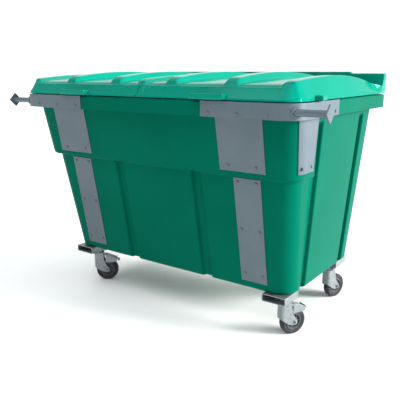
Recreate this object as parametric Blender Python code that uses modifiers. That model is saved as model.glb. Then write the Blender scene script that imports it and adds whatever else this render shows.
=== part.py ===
"""Four-wheel waste container with two half lids, lifting trunnions and swivel casters.

The tub is a tapered moulded shell whose rim carries riveted steel plates.  The
plates hold a trunnion bar at each front corner.  Two half lids turn on rods
along the back of the rim, and four swivel casters stand under box brackets.
Metres, +Z up, front towards -Y; the origin is on the floor under the centre.
"""
import math

import bmesh
import bpy
from mathutils import Euler, Matrix, Vector

# ---------------------------------------------------------------- driving sizes
GAP = 0.0003                 # clearance between pieces that touch
WALL = 0.005                 # moulded wall of the tub

RIM_HALF_LENGTH = 0.780
RIM_HALF_DEPTH = 0.4945
RIM_RADIUS = 0.078                      # front corners
RIM_BACK_RADIUS = 0.018
RIM_TOP = 1.0792
RIM_BOTTOM = 1.0153

STEP_Z = 0.7663              # underside of the upper band
STEP_RISE = 0.006
TUB_BOTTOM = 0.2268
BOTTOM_ROUND = 0.014

BAND_HALF_LENGTH = (0.7527, 0.7357)     # at the rim underside, at the step
BAND_FRONT = (-0.4451, -0.3987)
BODY_HALF_LENGTH = (0.7139, 0.6727)     # at the step, at the bottom
BODY_FRONT = (-0.3724, -0.2785)
SIDE_HALF_LENGTH = (0.7527, 0.6727)     # behind the first groove, top and bottom
BACK_Y = (0.4320, 0.4290)
CORNER_RADIUS = 0.085
CORNER_STEPS = 6

GROOVE_DEPTH = 0.018
GROOVE_TOP = 0.985
GROOVE_RUNOUT = 0.015
GROOVE_LEAN = 0.007                     # how far a groove's side walls lean
FRONT_GROOVE = (0.2045, 0.2620)         # between these distances from the middle
SIDE_GROOVE_WIDTH = 0.052
SIDE_GROOVE_A = (-0.213, -0.152)        # centre at the top, at the bottom
SIDE_GROOVE_B = (0.255, 0.283)

PLATE = 0.003                           # steel plate thickness
RIM_PLATE_START = 0.3504                # distance of its front end from the middle
RIM_PLATE_END = -0.113                  # where it ends on the short side
UPPER_PLATE_X = (0.388, 0.6084)
UPPER_PLATE_Z = (0.789, 1.040)
LOWER_PLATE_X = (0.4335, 0.5665)
LOWER_PLATE_Z = (0.265, 0.756)
SIDE_PLATE_END = -0.246
SIDE_PLATE_WRAP = math.radians(30.0)    # how far it runs round the front corner
SIDE_PLATE_Z = (0.794, 1.040)

TRUNNION_RADIUS = 0.0135
TRUNNION_Y = -0.468
TRUNNION_Z = 1.045
TRUNNION_END = 0.885
END_PLATE_SIDE = 0.050
END_PLATE_THICK = 0.008

LID_SEAM = 0.0015                       # half of the gap between the lids
LID_HALF_LENGTH = 0.778
LID_FRONT = -0.4935
LID_BACK = 0.4935
LID_BOTTOM = 1.083
LID_EDGE_Z = 1.129
LID_LEAN = 0.032                        # how far the skirt leans in at its top
LID_BRIM = 0.008
LID_WALL = 0.004
LID_RADIUS = 0.075
FLOOR_PEAK = 1.1625
RIDGE_PEAK = 1.1745
RIB_PEAK = 1.1885
PEAK_Y = -0.06
RIB_CENTRES = (0.164, 0.464)
RIB_TOP = 0.044
RIB_BASE = 0.080
FLANGE_FRONT = 0.468
FLANGE_Z = (1.187, 1.179)               # along the middle, near the ends
FLANGE_STEP_X = 0.600
GRIP_X = 0.388
GRIP_SIZE = (0.166, 0.050, 0.024)
GRIP_OUT = 0.0245
SIDE_GRIP_Y = -0.320
SIDE_GRIP_LENGTH = 0.040
SIDE_GRIP_OUT = 0.030
SIDE_GRIP_ROOT = 0.020                  # how far it reaches in from the lid's lower edge

HINGE_Y = 0.507
HINGE_Z = 1.095
ROD_RADIUS = 0.005
EYE_RADIUS = 0.011
EYE_HOLE = 0.0053
LUG_WIDTH = 0.030
HINGE_PLACES = (0.150, 0.630)           # distances of the hinges from the middle

CASTER_X = 0.603
CASTER_Y = {"front": -0.202, "rear": 0.313}
CASTER_HEADING = {                      # direction in which each wheel trails
    "front_right": math.radians(62.0),
    "front_left": math.radians(40.0),
    "rear_right": math.radians(71.0),
    "rear_left": math.radians(75.0),
}
BRACKET = (0.118, 0.130, 0.036)
BRACKET_WALL = 0.004
BRACKET_SHIFT = 0.030                   # from the swivel axis towards the tub's edge
TOP_PLATE = (0.100, 0.084, 0.004)
TRAIL = 0.055
WHEEL_RADIUS = 0.0635
WHEEL_SIDES = 32
TYRE_HALF_WIDTH = 0.018
TYRE_BORE = 0.0408
HUB_RADIUS = 0.0401
LEG_INNER = 0.0225
LEG_THICK = 0.003
FORK_FRONT = -0.016                     # outer face of the web ahead of the wheel
FORK_BEND = 0.016                       # outer radius where the web turns into the legs
AXLE_RADIUS = 0.006
CROWN_TOP = 0.1712
CROWN_THICK = 0.005
CROWN_RADIUS = 0.041
KING_HOLE = 0.0078
PEDAL_PIVOT = (0.040, 0.150)
PEDAL_HALF_WIDTH = 0.0207
CHEEK_THICK = 0.0020
PEDAL_TIP = (0.1215, 0.1190)

AXLE_Z = WHEEL_RADIUS * math.cos(math.pi / WHEEL_SIDES)

SIDES = (("right", 1.0), ("left", -1.0))


# ---------------------------------------------------------------- scene helpers
def clear_scene():
    for obj in list(bpy.data.objects):
        bpy.data.objects.remove(obj, do_unlink=True)


def new_collection(name):
    collection = bpy.data.collections.new(name)
    bpy.context.scene.collection.children.link(collection)
    return collection


def make_material(name, colour, roughness, metallic=0.0):
    material = bpy.data.materials.new(name)
    material.use_nodes = True
    shader = material.node_tree.nodes["Principled BSDF"]
    shader.inputs["Base Color"].default_value = (*colour, 1.0)
    shader.inputs["Roughness"].default_value = roughness
    shader.inputs["Metallic"].default_value = metallic
    return material


def place(name, mesh, material, parent=None):
    """Adds a finished mesh to the model as one named object."""
    mesh.name = name
    obj = bpy.data.objects.new(name, mesh)
    obj.parent = parent
    if not mesh.materials:
        mesh.materials.append(material)
    MODEL.objects.link(obj)
    return obj


def keep_as_cutter(mesh, name):
    cutter = bpy.data.objects.new(name, mesh)
    cutter.hide_render = True
    cutter.display_type = "WIRE"
    CUTTERS.objects.link(cutter)
    return cutter


def smooth(mesh, angle=35.0):
    mesh.shade_smooth()
    mesh.set_sharp_from_angle(angle=math.radians(angle))


def join_solid(obj, mesh, name, operation="UNION"):
    """Adds a Boolean modifier that joins or cuts obj with a closed mesh."""
    cutter = keep_as_cutter(mesh, name)
    cutter.parent = obj.parent
    cutter.matrix_basis = obj.matrix_basis.copy()
    boolean = obj.modifiers.new(name, "BOOLEAN")
    boolean.operation = operation
    boolean.solver = "EXACT"
    boolean.object = cutter


# ---------------------------------------------------------------- shape helpers
def mix(start, end, part):
    return start + (end - start) * part


def box_mesh(low, high, bevel=0.0):
    bm = bmesh.new()
    size = [high[i] - low[i] for i in range(3)]
    centre = [(high[i] + low[i]) / 2 for i in range(3)]
    bmesh.ops.create_cube(bm, size=1.0)
    bmesh.ops.scale(bm, vec=size, verts=bm.verts)
    bmesh.ops.translate(bm, vec=centre, verts=bm.verts)
    if bevel:
        bmesh.ops.bevel(bm, geom=bm.edges[:], offset=bevel, segments=2, affect="EDGES", profile=0.5)
    mesh = bpy.data.meshes.new("box")
    bm.to_mesh(mesh)
    bm.free()
    return mesh


def cylinder_mesh(radius, start, end, axis, centre, sides=32):
    """A closed cylinder along X, Y or Z from start to end, through centre."""
    bm = bmesh.new()
    bmesh.ops.create_cone(
        bm, cap_ends=True, segments=sides, radius1=radius, radius2=radius, depth=end - start)
    turn = {"X": Euler((0, math.pi / 2, 0)), "Y": Euler((math.pi / 2, 0, 0)), "Z": Euler((0, 0, 0))}
    middle = Vector(centre)
    middle["XYZ".index(axis)] = (start + end) / 2
    bm.transform(Matrix.Translation(middle) @ turn[axis].to_matrix().to_4x4())
    mesh = bpy.data.meshes.new("cylinder")
    bm.to_mesh(mesh)
    bm.free()
    return mesh


def prism_mesh(outlines, start, end, plane):
    """Extrudes flat outlines, the later ones being holes, across their plane.

    The plane's two letters say which axes the outline's numbers are.
    """
    curve = bpy.data.curves.new("outline", "CURVE")
    curve.dimensions = "2D"
    curve.fill_mode = "BOTH"
    curve.extrude = (end - start) / 2
    for outline in outlines:
        spline = curve.splines.new("POLY")
        spline.points.add(len(outline) - 1)
        for point, (u, v) in zip(spline.points, outline):
            point.co = (u, v, 0.0, 1.0)
        spline.use_cyclic_u = True
    holder = bpy.data.objects.new("outline", curve)
    CUTTERS.objects.link(holder)
    middle = (start + end) / 2
    columns = {
        "XY": Matrix(((1, 0, 0, 0), (0, 1, 0, 0), (0, 0, 1, middle), (0, 0, 0, 1))),
        "YZ": Matrix(((0, 0, 1, middle), (1, 0, 0, 0), (0, 1, 0, 0), (0, 0, 0, 1))),
        "XZ": Matrix(((1, 0, 0, 0), (0, 0, -1, middle), (0, 1, 0, 0), (0, 0, 0, 1))),
    }
    bpy.context.view_layer.update()
    graph = bpy.context.evaluated_depsgraph_get()
    mesh = bpy.data.meshes.new_from_object(holder.evaluated_get(graph))
    bpy.data.objects.remove(holder)
    bpy.data.curves.remove(curve)
    mesh.transform(columns[plane])
    bm = bmesh.new()
    bm.from_mesh(mesh)
    bmesh.ops.remove_doubles(bm, verts=bm.verts, dist=0.00001)
    bmesh.ops.recalc_face_normals(bm, faces=bm.faces)
    bm.to_mesh(mesh)
    bm.free()
    mesh.materials.clear()
    return mesh


def arc(centre, radius, start, end, steps):
    """Points of an arc between two angles in degrees, both ends included."""
    points = []
    for i in range(steps + 1):
        angle = math.radians(mix(start, end, i / steps))
        points.append((centre[0] + radius * math.cos(angle), centre[1] + radius * math.sin(angle)))
    return points


def circle(centre, radius, steps=24):
    return arc(centre, radius, 0.0, 360.0, steps)[:-1]


def turned(name, profile, material, parent, sides, ring=False):
    """A solid turned about its own Z from a profile that runs from top to bottom.

    A ring's profile is closed and doesn't touch the axis, such as a tyre's.
    """
    mesh = bpy.data.meshes.new(name)
    count = len(profile)
    edges = [(i, (i + 1) % count) for i in range(count if ring else count - 1)]
    mesh.from_pydata([(r, 0.0, z) for r, z in profile], edges, [])
    obj = place(name, mesh, material, parent)
    screw = obj.modifiers.new("turn", "SCREW")
    screw.steps = sides
    screw.render_steps = sides
    screw.use_merge_vertices = True
    screw.merge_threshold = 0.0001
    screw.use_smooth_shade = True
    return obj


def sheet_mesh(rows):
    """An open surface through rows of points, each row as long as the others."""
    width = len(rows[0])
    points = [point for row in rows for point in row]
    faces = []
    for j in range(len(rows) - 1):
        for i in range(width - 1):
            a = j * width + i
            faces.append((a, a + 1, a + 1 + width, a + width))
    mesh = bpy.data.meshes.new("sheet")
    mesh.from_pydata(points, [], faces)
    return mesh


def thicken(obj, thickness, offset=-1.0):
    solidify = obj.modifiers.new("wall", "SOLIDIFY")
    solidify.thickness = thickness
    solidify.offset = offset
    solidify.use_even_offset = True
    solidify.use_quality_normals = True


# ---------------------------------------------------------------- tub
def side_part(z):
    """0 at the underside of the rim, 1 at the bottom of the tub."""
    return (RIM_BOTTOM - z) / (RIM_BOTTOM - TUB_BOTTOM)


def tier(z, upper):
    """Half length of the front corners and front face at height z."""
    if upper:
        part = (RIM_BOTTOM - z) / (RIM_BOTTOM - STEP_Z)
        return mix(*BAND_HALF_LENGTH, part), mix(*BAND_FRONT, part)
    part = (STEP_Z - z) / (STEP_Z - TUB_BOTTOM)
    return mix(*BODY_HALF_LENGTH, part), mix(*BODY_FRONT, part)


def half_section(corner_x, side_x, front, back, radius, back_radius, front_dip, side_dip, part):
    """Right half of a level outline, from the middle of the front to that of the back."""
    inner, outer = FRONT_GROOVE
    lean = GROOVE_LEAN
    points = [(0.0, front), (inner, front), (inner + lean, front + front_dip)]
    points += [(outer - lean, front + front_dip), (outer, front)]
    points += arc((corner_x - radius, front + radius), radius, -90.0, 0.0, CORNER_STEPS)
    half = SIDE_GROOVE_WIDTH / 2
    first = mix(*SIDE_GROOVE_A, part)
    points += [(corner_x, first - half), (side_x - side_dip, first - half + lean)]
    points += [(side_x - side_dip, first + half - lean), (side_x, first + half)]
    second = mix(*SIDE_GROOVE_B, part)
    points += [(side_x, second - half), (side_x - side_dip, second - half + lean)]
    points += [(side_x - side_dip, second + half - lean), (side_x, second + half)]
    points += arc((side_x - back_radius, back - back_radius), back_radius, 0.0, 90.0, CORNER_STEPS)
    points += [(outer, back), (outer - lean, back - side_dip)]
    points += [(inner + lean, back - side_dip), (inner, back), (0.0, back)]
    return points


def closed_loop(half, z):
    """The right half and its mirror image, as one loop at height z."""
    mirrored = [(-x, y) for x, y in half[-2:0:-1]]
    return [(x, y, z) for x, y in half + mirrored]


def wall_loop(z, upper, inset=0.0, grooved=True):
    part = side_part(z)
    corner_x, front = tier(z, upper)
    side_x = mix(*SIDE_HALF_LENGTH, part)
    back = mix(*BACK_Y, part)
    front_dip = 0.0 if upper else GROOVE_DEPTH
    side_dip = GROOVE_DEPTH if grooved else 0.0
    radius = CORNER_RADIUS - inset
    half = half_section(
        corner_x - inset, side_x - inset, front + inset, back - inset,
        radius, radius, front_dip, side_dip, part)
    return closed_loop(half, z)


def rim_loop(z, inset):
    reach = RIM_HALF_LENGTH - inset
    depth = RIM_HALF_DEPTH - inset
    half = half_section(
        reach, reach, -depth, depth, RIM_RADIUS - inset, RIM_BACK_RADIUS - inset, 0.0, 0.0, 0.0)
    return closed_loop(half, z)


def tub_levels():
    """Level outlines from the bottom, up the wall, over the rim and down its skirt."""
    flange = RIM_TOP - WALL
    return [
        wall_loop(TUB_BOTTOM, False, BOTTOM_ROUND),
        wall_loop(TUB_BOTTOM + 0.3 * BOTTOM_ROUND, False, 0.3 * BOTTOM_ROUND),
        wall_loop(TUB_BOTTOM + BOTTOM_ROUND, False),
        wall_loop(STEP_Z - STEP_RISE, False),
        wall_loop(STEP_Z, True),
        wall_loop(GROOVE_TOP, True),
        wall_loop(GROOVE_TOP + GROOVE_RUNOUT, True, grooved=False),
        wall_loop(flange - 0.004, True, grooved=False),
        wall_loop(flange, True, -0.004, grooved=False),
        rim_loop(flange, WALL + 0.004),
        rim_loop(flange - 0.004, WALL),
        rim_loop(RIM_BOTTOM, WALL),
    ]


def make_tub():
    levels = tub_levels()
    count = len(levels[0])
    points = [point for level in levels for point in level]
    faces = [tuple(reversed(range(count)))]
    for j in range(len(levels) - 1):
        for i in range(count):
            k = (i + 1) % count
            faces.append((j * count + i, j * count + k, (j + 1) * count + k, (j + 1) * count + i))
    mesh = bpy.data.meshes.new("tub")
    mesh.from_pydata(points, [], faces)
    smooth(mesh, 25.0)
    tub = place("tub", mesh, GREEN_PLASTIC)
    thicken(tub, WALL)


# ---------------------------------------------------------------- steel plates
def outer_face(points, offset):
    """Moves a level polyline outwards by offset, square to its own direction."""
    moved = []
    for i, (x, y) in enumerate(points):
        ahead = points[min(i + 1, len(points) - 1)]
        behind = points[max(i - 1, 0)]
        along = Vector((ahead[0] - behind[0], ahead[1] - behind[1])).normalized()
        moved.append((x + along.y * offset, y - along.x * offset))
    return moved


def make_plate(name, low_line, high_line, low_z, high_z):
    """A bent steel plate between two level polylines that lie on the moulding."""
    rows = []
    for line, z in ((low_line, low_z), (high_line, high_z)):
        rows.append([(x, y, z) for x, y in outer_face(line, GAP)])
    plate = place(name, sheet_mesh(rows), PAINTED_STEEL)
    thicken(plate, PLATE, 1.0)
    return plate


def mirrored(points, sign):
    """The polyline itself, or its mirror image run the other way round."""
    if sign > 0:
        return points
    return [(-x, y) for x, y in reversed(points)]


def make_rim_plate(side, sign):
    reach = RIM_HALF_LENGTH - RIM_RADIUS
    line = [(RIM_PLATE_START, -RIM_HALF_DEPTH)]
    line += arc((reach, -RIM_HALF_DEPTH + RIM_RADIUS), RIM_RADIUS, -90.0, 0.0, CORNER_STEPS)
    line.append((RIM_HALF_LENGTH, RIM_PLATE_END))
    line = mirrored(line, sign)
    make_plate(f"rim_plate_{side}", line, line, RIM_BOTTOM + GAP, RIM_TOP - GAP)


def make_front_plate(name, sign, span, heights, upper):
    lines = []
    for z in heights:
        front = tier(z, upper)[1]
        lines.append(mirrored([(span[0], front), (span[1], front)], sign))
    make_plate(name, *lines, *heights)


def make_side_plate(side, sign):
    lines = []
    for z in SIDE_PLATE_Z:
        corner_x, front = tier(z, True)
        centre = (corner_x - CORNER_RADIUS, front + CORNER_RADIUS)
        line = arc(centre, CORNER_RADIUS, -math.degrees(SIDE_PLATE_WRAP), 0.0, 2)
        line.append((corner_x, SIDE_PLATE_END))
        lines.append(mirrored(line, sign))
    make_plate(f"side_plate_{side}", *lines, *SIDE_PLATE_Z)


# ---------------------------------------------------------------- trunnions
def rim_solid(clearance):
    """The rim and its plates as one block, to trim the bars against."""
    grow = PLATE + GAP + clearance
    margin = 0.010                       # how far the block stands above and below the rim
    reach = RIM_HALF_LENGTH - RIM_RADIUS
    depth = RIM_HALF_DEPTH - RIM_RADIUS
    outline = []
    corners = ((reach, -depth, -90.0), (reach, depth, 0.0), (-reach, depth, 90.0), (-reach, -depth, 180.0))
    for x, y, start in corners:
        outline += arc((x, y), RIM_RADIUS + grow, start, start + 90.0, CORNER_STEPS)
    return prism_mesh([outline], RIM_BOTTOM - margin, RIM_TOP + margin, "XY")


def make_trunnion(side, sign):
    inner = sign * (RIM_HALF_LENGTH - RIM_RADIUS)
    outer = sign * TRUNNION_END
    centre = (0.0, TRUNNION_Y, TRUNNION_Z)
    mesh = cylinder_mesh(TRUNNION_RADIUS, min(inner, outer), max(inner, outer), "X", centre, 24)
    smooth(mesh)
    bar = place(f"trunnion_bar_{side}", mesh, PAINTED_STEEL)
    join_solid(bar, rim_solid(2 * GAP), f"trim_{side}", "DIFFERENCE")

    half = END_PLATE_SIDE / math.sqrt(2.0)
    diamond = [(TRUNNION_Y - half, TRUNNION_Z), (TRUNNION_Y, TRUNNION_Z - half)]
    diamond += [(TRUNNION_Y + half, TRUNNION_Z), (TRUNNION_Y, TRUNNION_Z + half)]
    near = sign * (TRUNNION_END + GAP)
    far = sign * (TRUNNION_END + GAP + END_PLATE_THICK)
    end_plate = prism_mesh([diamond], min(near, far), max(near, far), "YZ")
    place(f"trunnion_end_{side}", end_plate, PAINTED_STEEL)


# ---------------------------------------------------------------- lids
def parabola(y, peak, front_drop, back_drop):
    """An arch over the lid that falls off differently to the front and the back."""
    drop = front_drop if y < PEAK_Y else back_drop
    return peak - drop * (y - PEAK_Y) ** 2


def floor_z(y):
    return parabola(y, FLOOR_PEAK, 0.130, 0.175)


def ridge_z(y):
    return parabola(y, RIDGE_PEAK, 0.128, 0.214)


def rib_z(y):
    return RIB_PEAK - 0.17 * y * y


def lid_lines_x():
    """Lines across the lid: the edge with its height rule, for every bend of the section."""
    half_top = RIB_TOP / 2
    half_base = RIB_BASE / 2
    outer = LID_HALF_LENGTH - LID_LEAN
    lines = [(LID_SEAM, ridge_z), (0.022, ridge_z), (0.034, floor_z)]
    for centre in RIB_CENTRES:
        lines += [(centre - half_base, floor_z), (centre - half_top, rib_z)]
        lines += [(centre + half_top, rib_z), (centre + half_base, floor_z)]
    lines += [(FLANGE_STEP_X, floor_z), (FLANGE_STEP_X + 0.012, floor_z)]
    lines += [(0.678, floor_z), (0.700, ridge_z), (outer - LID_BRIM, ridge_z), (outer, ridge_z)]
    return lines


def lid_lines_y():
    front = LID_FRONT + LID_LEAN
    lines = [front, front + 0.012, front + 0.036]
    lines += [-0.41, -0.31, -0.20, -0.08, 0.04, 0.16, 0.27, 0.37]
    lines += [FLANGE_FRONT - 0.020, FLANGE_FRONT, LID_BACK]
    return lines


def round_corner(x, y, reach, front, radius):
    """Bends the square front outer corner of the grid into a quarter circle."""
    centre_x = reach - radius
    centre_y = front + radius
    u = (x - centre_x) / radius
    v = (centre_y - y) / radius
    if u <= 0.0 or v <= 0.0:
        return x, y
    size = max(u, v)
    angle = (v / u) * math.pi / 4 if u >= v else math.pi / 2 - (u / v) * math.pi / 4
    return centre_x + radius * size * math.cos(angle), centre_y - radius * size * math.sin(angle)


def lid_height(x, y, rule):
    front = LID_FRONT + LID_LEAN
    if y >= FLANGE_FRONT - 0.0001:
        return FLANGE_Z[0] if x < FLANGE_STEP_X + 0.006 else FLANGE_Z[1]
    height = rule(y)
    if y < front + 0.030:
        rise = min(1.0, (y - front) / 0.030)
        height = mix(LID_EDGE_Z, height, rise)
    outer = LID_HALF_LENGTH - LID_LEAN
    if x > outer - 0.004:
        height = min(height, rule(y) - 0.006)
    return height


def flange_reach(y):
    """How far the lid's outer edge moves out again towards the rear flange, whose end is upright."""
    start, end = 0.37, FLANGE_FRONT - 0.020
    return LID_LEAN * min(1.0, max(0.0, (y - start) / (end - start)))


def lid_surface():
    """Open surface of a right-hand lid: the domed top with its skirt hanging from it."""
    lines_x = lid_lines_x()
    lines_y = lid_lines_y()
    outer = LID_HALF_LENGTH - LID_LEAN
    front = LID_FRONT + LID_LEAN
    radius = LID_RADIUS - LID_LEAN
    rows = []
    for y in lines_y:
        row = []
        for x, rule in lines_x:
            px, py = round_corner(x, y, outer, front, radius)
            height = lid_height(px, py, rule)
            if x > outer - 1.1 * LID_BRIM:
                px += flange_reach(y)
            row.append(Vector((px, py, height)))
        rows.append(row)
    mesh = sheet_mesh(rows)
    bm = bmesh.new()
    bm.from_mesh(mesh)
    border = [edge for edge in bm.edges if edge.is_boundary]
    grown = bmesh.ops.extrude_edge_only(bm, edges=border)["geom"]
    for vertex in (item for item in grown if isinstance(item, bmesh.types.BMVert)):
        vertex.co = skirt_foot(vertex.co)
    bmesh.ops.recalc_face_normals(bm, faces=bm.faces)
    top = max(bm.faces, key=lambda face: face.calc_center_median().z)
    if top.normal.z < 0:
        bmesh.ops.reverse_faces(bm, faces=bm.faces)
    bm.to_mesh(mesh)
    bm.free()
    return mesh


def skirt_foot(point):
    """Where the skirt's lower edge lies under a point of the lid's upper edge."""
    x, y = point.x, point.y
    outer = LID_HALF_LENGTH - LID_LEAN
    front = LID_FRONT + LID_LEAN
    radius = LID_RADIUS - LID_LEAN
    centre = Vector((outer - radius, front + radius))
    if x > centre.x and y < centre.y:
        away = (Vector((x, y)) - centre).normalized()
        return Vector((x + LID_LEAN * away.x, y + LID_LEAN * away.y, LID_BOTTOM))
    if abs(y - front) < 0.0001:
        y -= LID_LEAN
    if x > outer - 0.0001:
        x = LID_HALF_LENGTH
    return Vector((x, y, LID_BOTTOM))


def make_lid(side, sign, parent):
    mesh = lid_surface()
    if sign < 0:
        mesh.transform(Matrix.Scale(-1.0, 4, Vector((1, 0, 0))))
        mesh.flip_normals()
    mesh.transform(Matrix.Translation((0.0, -HINGE_Y, -HINGE_Z)))
    smooth(mesh)
    lid = place(f"lid_{side}", mesh, GREEN_PLASTIC, parent)
    thicken(lid, LID_WALL)

    width, depth, height = GRIP_SIZE
    low = (sign * GRIP_X - width / 2, LID_FRONT - GRIP_OUT, LID_BOTTOM + 0.0005)
    high = (sign * GRIP_X + width / 2, LID_FRONT - GRIP_OUT + depth, LID_BOTTOM + height)
    front_grip = box_mesh(low, high, 0.003)
    edge = sorted((sign * (LID_HALF_LENGTH + SIDE_GRIP_OUT), sign * (LID_HALF_LENGTH - SIDE_GRIP_ROOT)))
    low = (edge[0], SIDE_GRIP_Y - SIDE_GRIP_LENGTH / 2, LID_BOTTOM + 0.0005)
    high = (edge[1], SIDE_GRIP_Y + SIDE_GRIP_LENGTH / 2, LID_BOTTOM + 0.020)
    side_grip = box_mesh(low, high, 0.003)
    for grip, name in ((front_grip, "front_grip"), (side_grip, "side_grip")):
        grip.transform(Matrix.Translation((0.0, -HINGE_Y, -HINGE_Z)))
        join_solid(lid, grip, f"{name}_{side}")


# ---------------------------------------------------------------- lid hinges
def lug_outline(face_y, thick, low_z, high_z):
    """An eye round the rod with a tail lying against an upright face in front of it."""
    back = face_y + thick
    if high_z > HINGE_Z + EYE_RADIUS:
        eye = arc((HINGE_Y, HINGE_Z), EYE_RADIUS, -150.0, 90.0, 10)
        tail = [(back + 0.004, HINGE_Z + 0.020), (back, high_z), (face_y, high_z)]
        return eye + tail + [(face_y, HINGE_Z - 0.006)]
    eye = arc((HINGE_Y, HINGE_Z), EYE_RADIUS, -50.0, 200.0, 10)
    tail = [(face_y, HINGE_Z - 0.010), (face_y, low_z), (back, low_z)]
    return eye + tail + [(back, HINGE_Z - 0.024)]


def lug_mesh(centre_x, outline):
    hole = circle((HINGE_Y, HINGE_Z), EYE_HOLE, 12)
    half = LUG_WIDTH / 2
    return prism_mesh([outline, hole], centre_x - half, centre_x + half, "YZ")


def make_hinge(side, sign, parent):
    """Rod with its brackets on the tub, and the lugs that carry the lid on it."""
    step = (LUG_WIDTH + 0.002) / 2
    for number, place_x in enumerate(HINGE_PLACES, start=1):
        centre = sign * place_x
        bracket = lug_mesh(centre - step, lug_outline(RIM_HALF_DEPTH + GAP, 0.004, RIM_BOTTOM + 0.004, 0.0))
        place(f"hinge_bracket_{side}_{number}", bracket, PAINTED_STEEL)
        lug = lug_mesh(centre + step, lug_outline(LID_BACK + GAP, 0.004, 0.0, 1.150))
        lug.transform(Matrix.Translation((0.0, -HINGE_Y, -HINGE_Z)))
        place(f"lid_lug_{side}_{number}", lug, GREEN_PLASTIC, parent)
    ends = sorted((sign * (HINGE_PLACES[0] - 0.050), sign * (HINGE_PLACES[1] + 0.050)))
    rod = cylinder_mesh(ROD_RADIUS, ends[0], ends[1], "X", (0.0, HINGE_Y, HINGE_Z), 12)
    smooth(rod)
    place(f"hinge_rod_{side}", rod, ZINC)


def make_lid_set(side, sign):
    pivot = bpy.data.objects.new(f"pivot_lid_{side}", None)
    pivot.location = (0.0, HINGE_Y, HINGE_Z)
    MODEL.objects.link(pivot)
    make_lid(side, sign, pivot)
    make_hinge(side, sign, pivot)


# ---------------------------------------------------------------- casters
def make_bracket(where, centre, outwards):
    """A short box section under the tub, open at its front and back."""
    width, length, height = BRACKET
    top = TUB_BOTTOM - GAP
    half = width / 2
    inner = half - BRACKET_WALL
    outline = [(-half, top - height), (half, top - height), (half, top), (-half, top)]
    hole = [(-inner, top - height + BRACKET_WALL), (inner, top - height + BRACKET_WALL)]
    hole += [(inner, top - BRACKET_WALL), (-inner, top - BRACKET_WALL)]
    mesh = prism_mesh([outline, hole], -length / 2, length / 2, "XZ")
    bracket = place(f"caster_bracket_{where}", mesh, ZINC)
    bracket.location = (centre[0], centre[1] + outwards * BRACKET_SHIFT, 0.0)


def make_top_plate(where, pivot_fixed):
    """Caster plate bolted under the bracket, with the turned swivel head below it."""
    length, width, thick = TOP_PLATE
    top = TUB_BOTTOM - BRACKET[2] - 2 * GAP
    mesh = box_mesh((-length / 2, -width / 2, top - thick), (length / 2, width / 2, top))
    place(f"caster_plate_{where}", mesh, ZINC, pivot_fixed)
    race_top = top - thick - GAP
    crown = CROWN_TOP + 2 * GAP
    under = CROWN_TOP - CROWN_THICK - 2 * GAP
    pin, nut = KING_HOLE - 0.0008, 0.0115
    profile = [(0.0, race_top), (0.034, race_top), (0.038, race_top - 0.003), (0.038, race_top - 0.008)]
    profile += [(0.033, crown), (pin, crown), (pin, under), (nut, under)]
    profile += [(nut, under - 0.009), (0.0, under - 0.009)]
    turned(f"swivel_race_{where}", profile, ZINC, pivot_fixed, 20)


def leg_outline():
    """Side view of the fork; the wheel trails towards +X."""
    low = CROWN_TOP - CROWN_THICK + 0.001
    points = [(FORK_FRONT - 0.001, low), (FORK_FRONT - 0.001, 0.084), (0.022, 0.055)]
    points += arc((TRAIL, AXLE_Z), 0.0125, -110.0, 15.0, 5)
    points += [(0.055, 0.108), (0.041, 0.146), (0.038, low)]
    return points


def fork_channel():
    """Plan view of the bent sheet: the web ahead of the wheel and a leg down each side of it."""
    outer = LEG_INNER + LEG_THICK
    end = TRAIL + 0.030
    steps = 4
    centre_x, centre_y = FORK_FRONT + FORK_BEND, outer - FORK_BEND
    rows = []
    for radius in (FORK_BEND, FORK_BEND - LEG_THICK):
        row = [(end, centre_y + radius)]
        row += arc((centre_x, centre_y), radius, 90.0, 180.0, steps)
        row += arc((centre_x, -centre_y), radius, 180.0, 270.0, steps)
        row.append((end, -centre_y - radius))
        rows.append(row)
    return rows[0] + rows[1][::-1]


def make_fork(where, pivot):
    """Pressed fork: a dished crown round the king pin and a channel that holds the axle."""
    crown_low = CROWN_TOP - CROWN_THICK
    profile = [(KING_HOLE, CROWN_TOP), (CROWN_RADIUS, CROWN_TOP), (CROWN_RADIUS, CROWN_TOP - 0.003)]
    profile += [(CROWN_RADIUS - 0.005, crown_low), (KING_HOLE, crown_low)]
    fork = turned(f"fork_{where}", profile, ZINC, pivot, 24, ring=True)
    channel = keep_as_cutter(prism_mesh([fork_channel()], 0.040, crown_low + 0.001, "XY"), f"channel_{where}")
    channel.parent = pivot
    reach = 2 * LEG_INNER
    join_solid(channel, prism_mesh([leg_outline()], -reach, reach, "XZ"), f"side_cut_{where}", "INTERSECT")
    axle_hole = circle((TRAIL, AXLE_Z), AXLE_RADIUS + 0.0004, 12)
    join_solid(channel, prism_mesh([axle_hole], -reach, reach, "XZ"), f"axle_hole_{where}", "DIFFERENCE")
    boolean = fork.modifiers.new("channel", "BOOLEAN")
    boolean.operation = "UNION"
    boolean.solver = "EXACT"
    boolean.object = channel


def make_axle(where, pivot):
    """Axle bolt with a head and a nut outside the fork legs."""
    out = LEG_INNER + LEG_THICK + 0.0004
    head, head_radius = out + 0.007, 0.0095
    profile = [(0.0, head), (head_radius, head), (head_radius, out), (AXLE_RADIUS, out)]
    profile += [(AXLE_RADIUS, -out), (head_radius, -out), (head_radius, -head), (0.0, -head)]
    axle = turned(f"axle_{where}", profile, ZINC, pivot, 12)
    axle.location = (TRAIL, 0.0, AXLE_Z)
    axle.rotation_euler = (-math.pi / 2, 0.0, 0.0)


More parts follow.
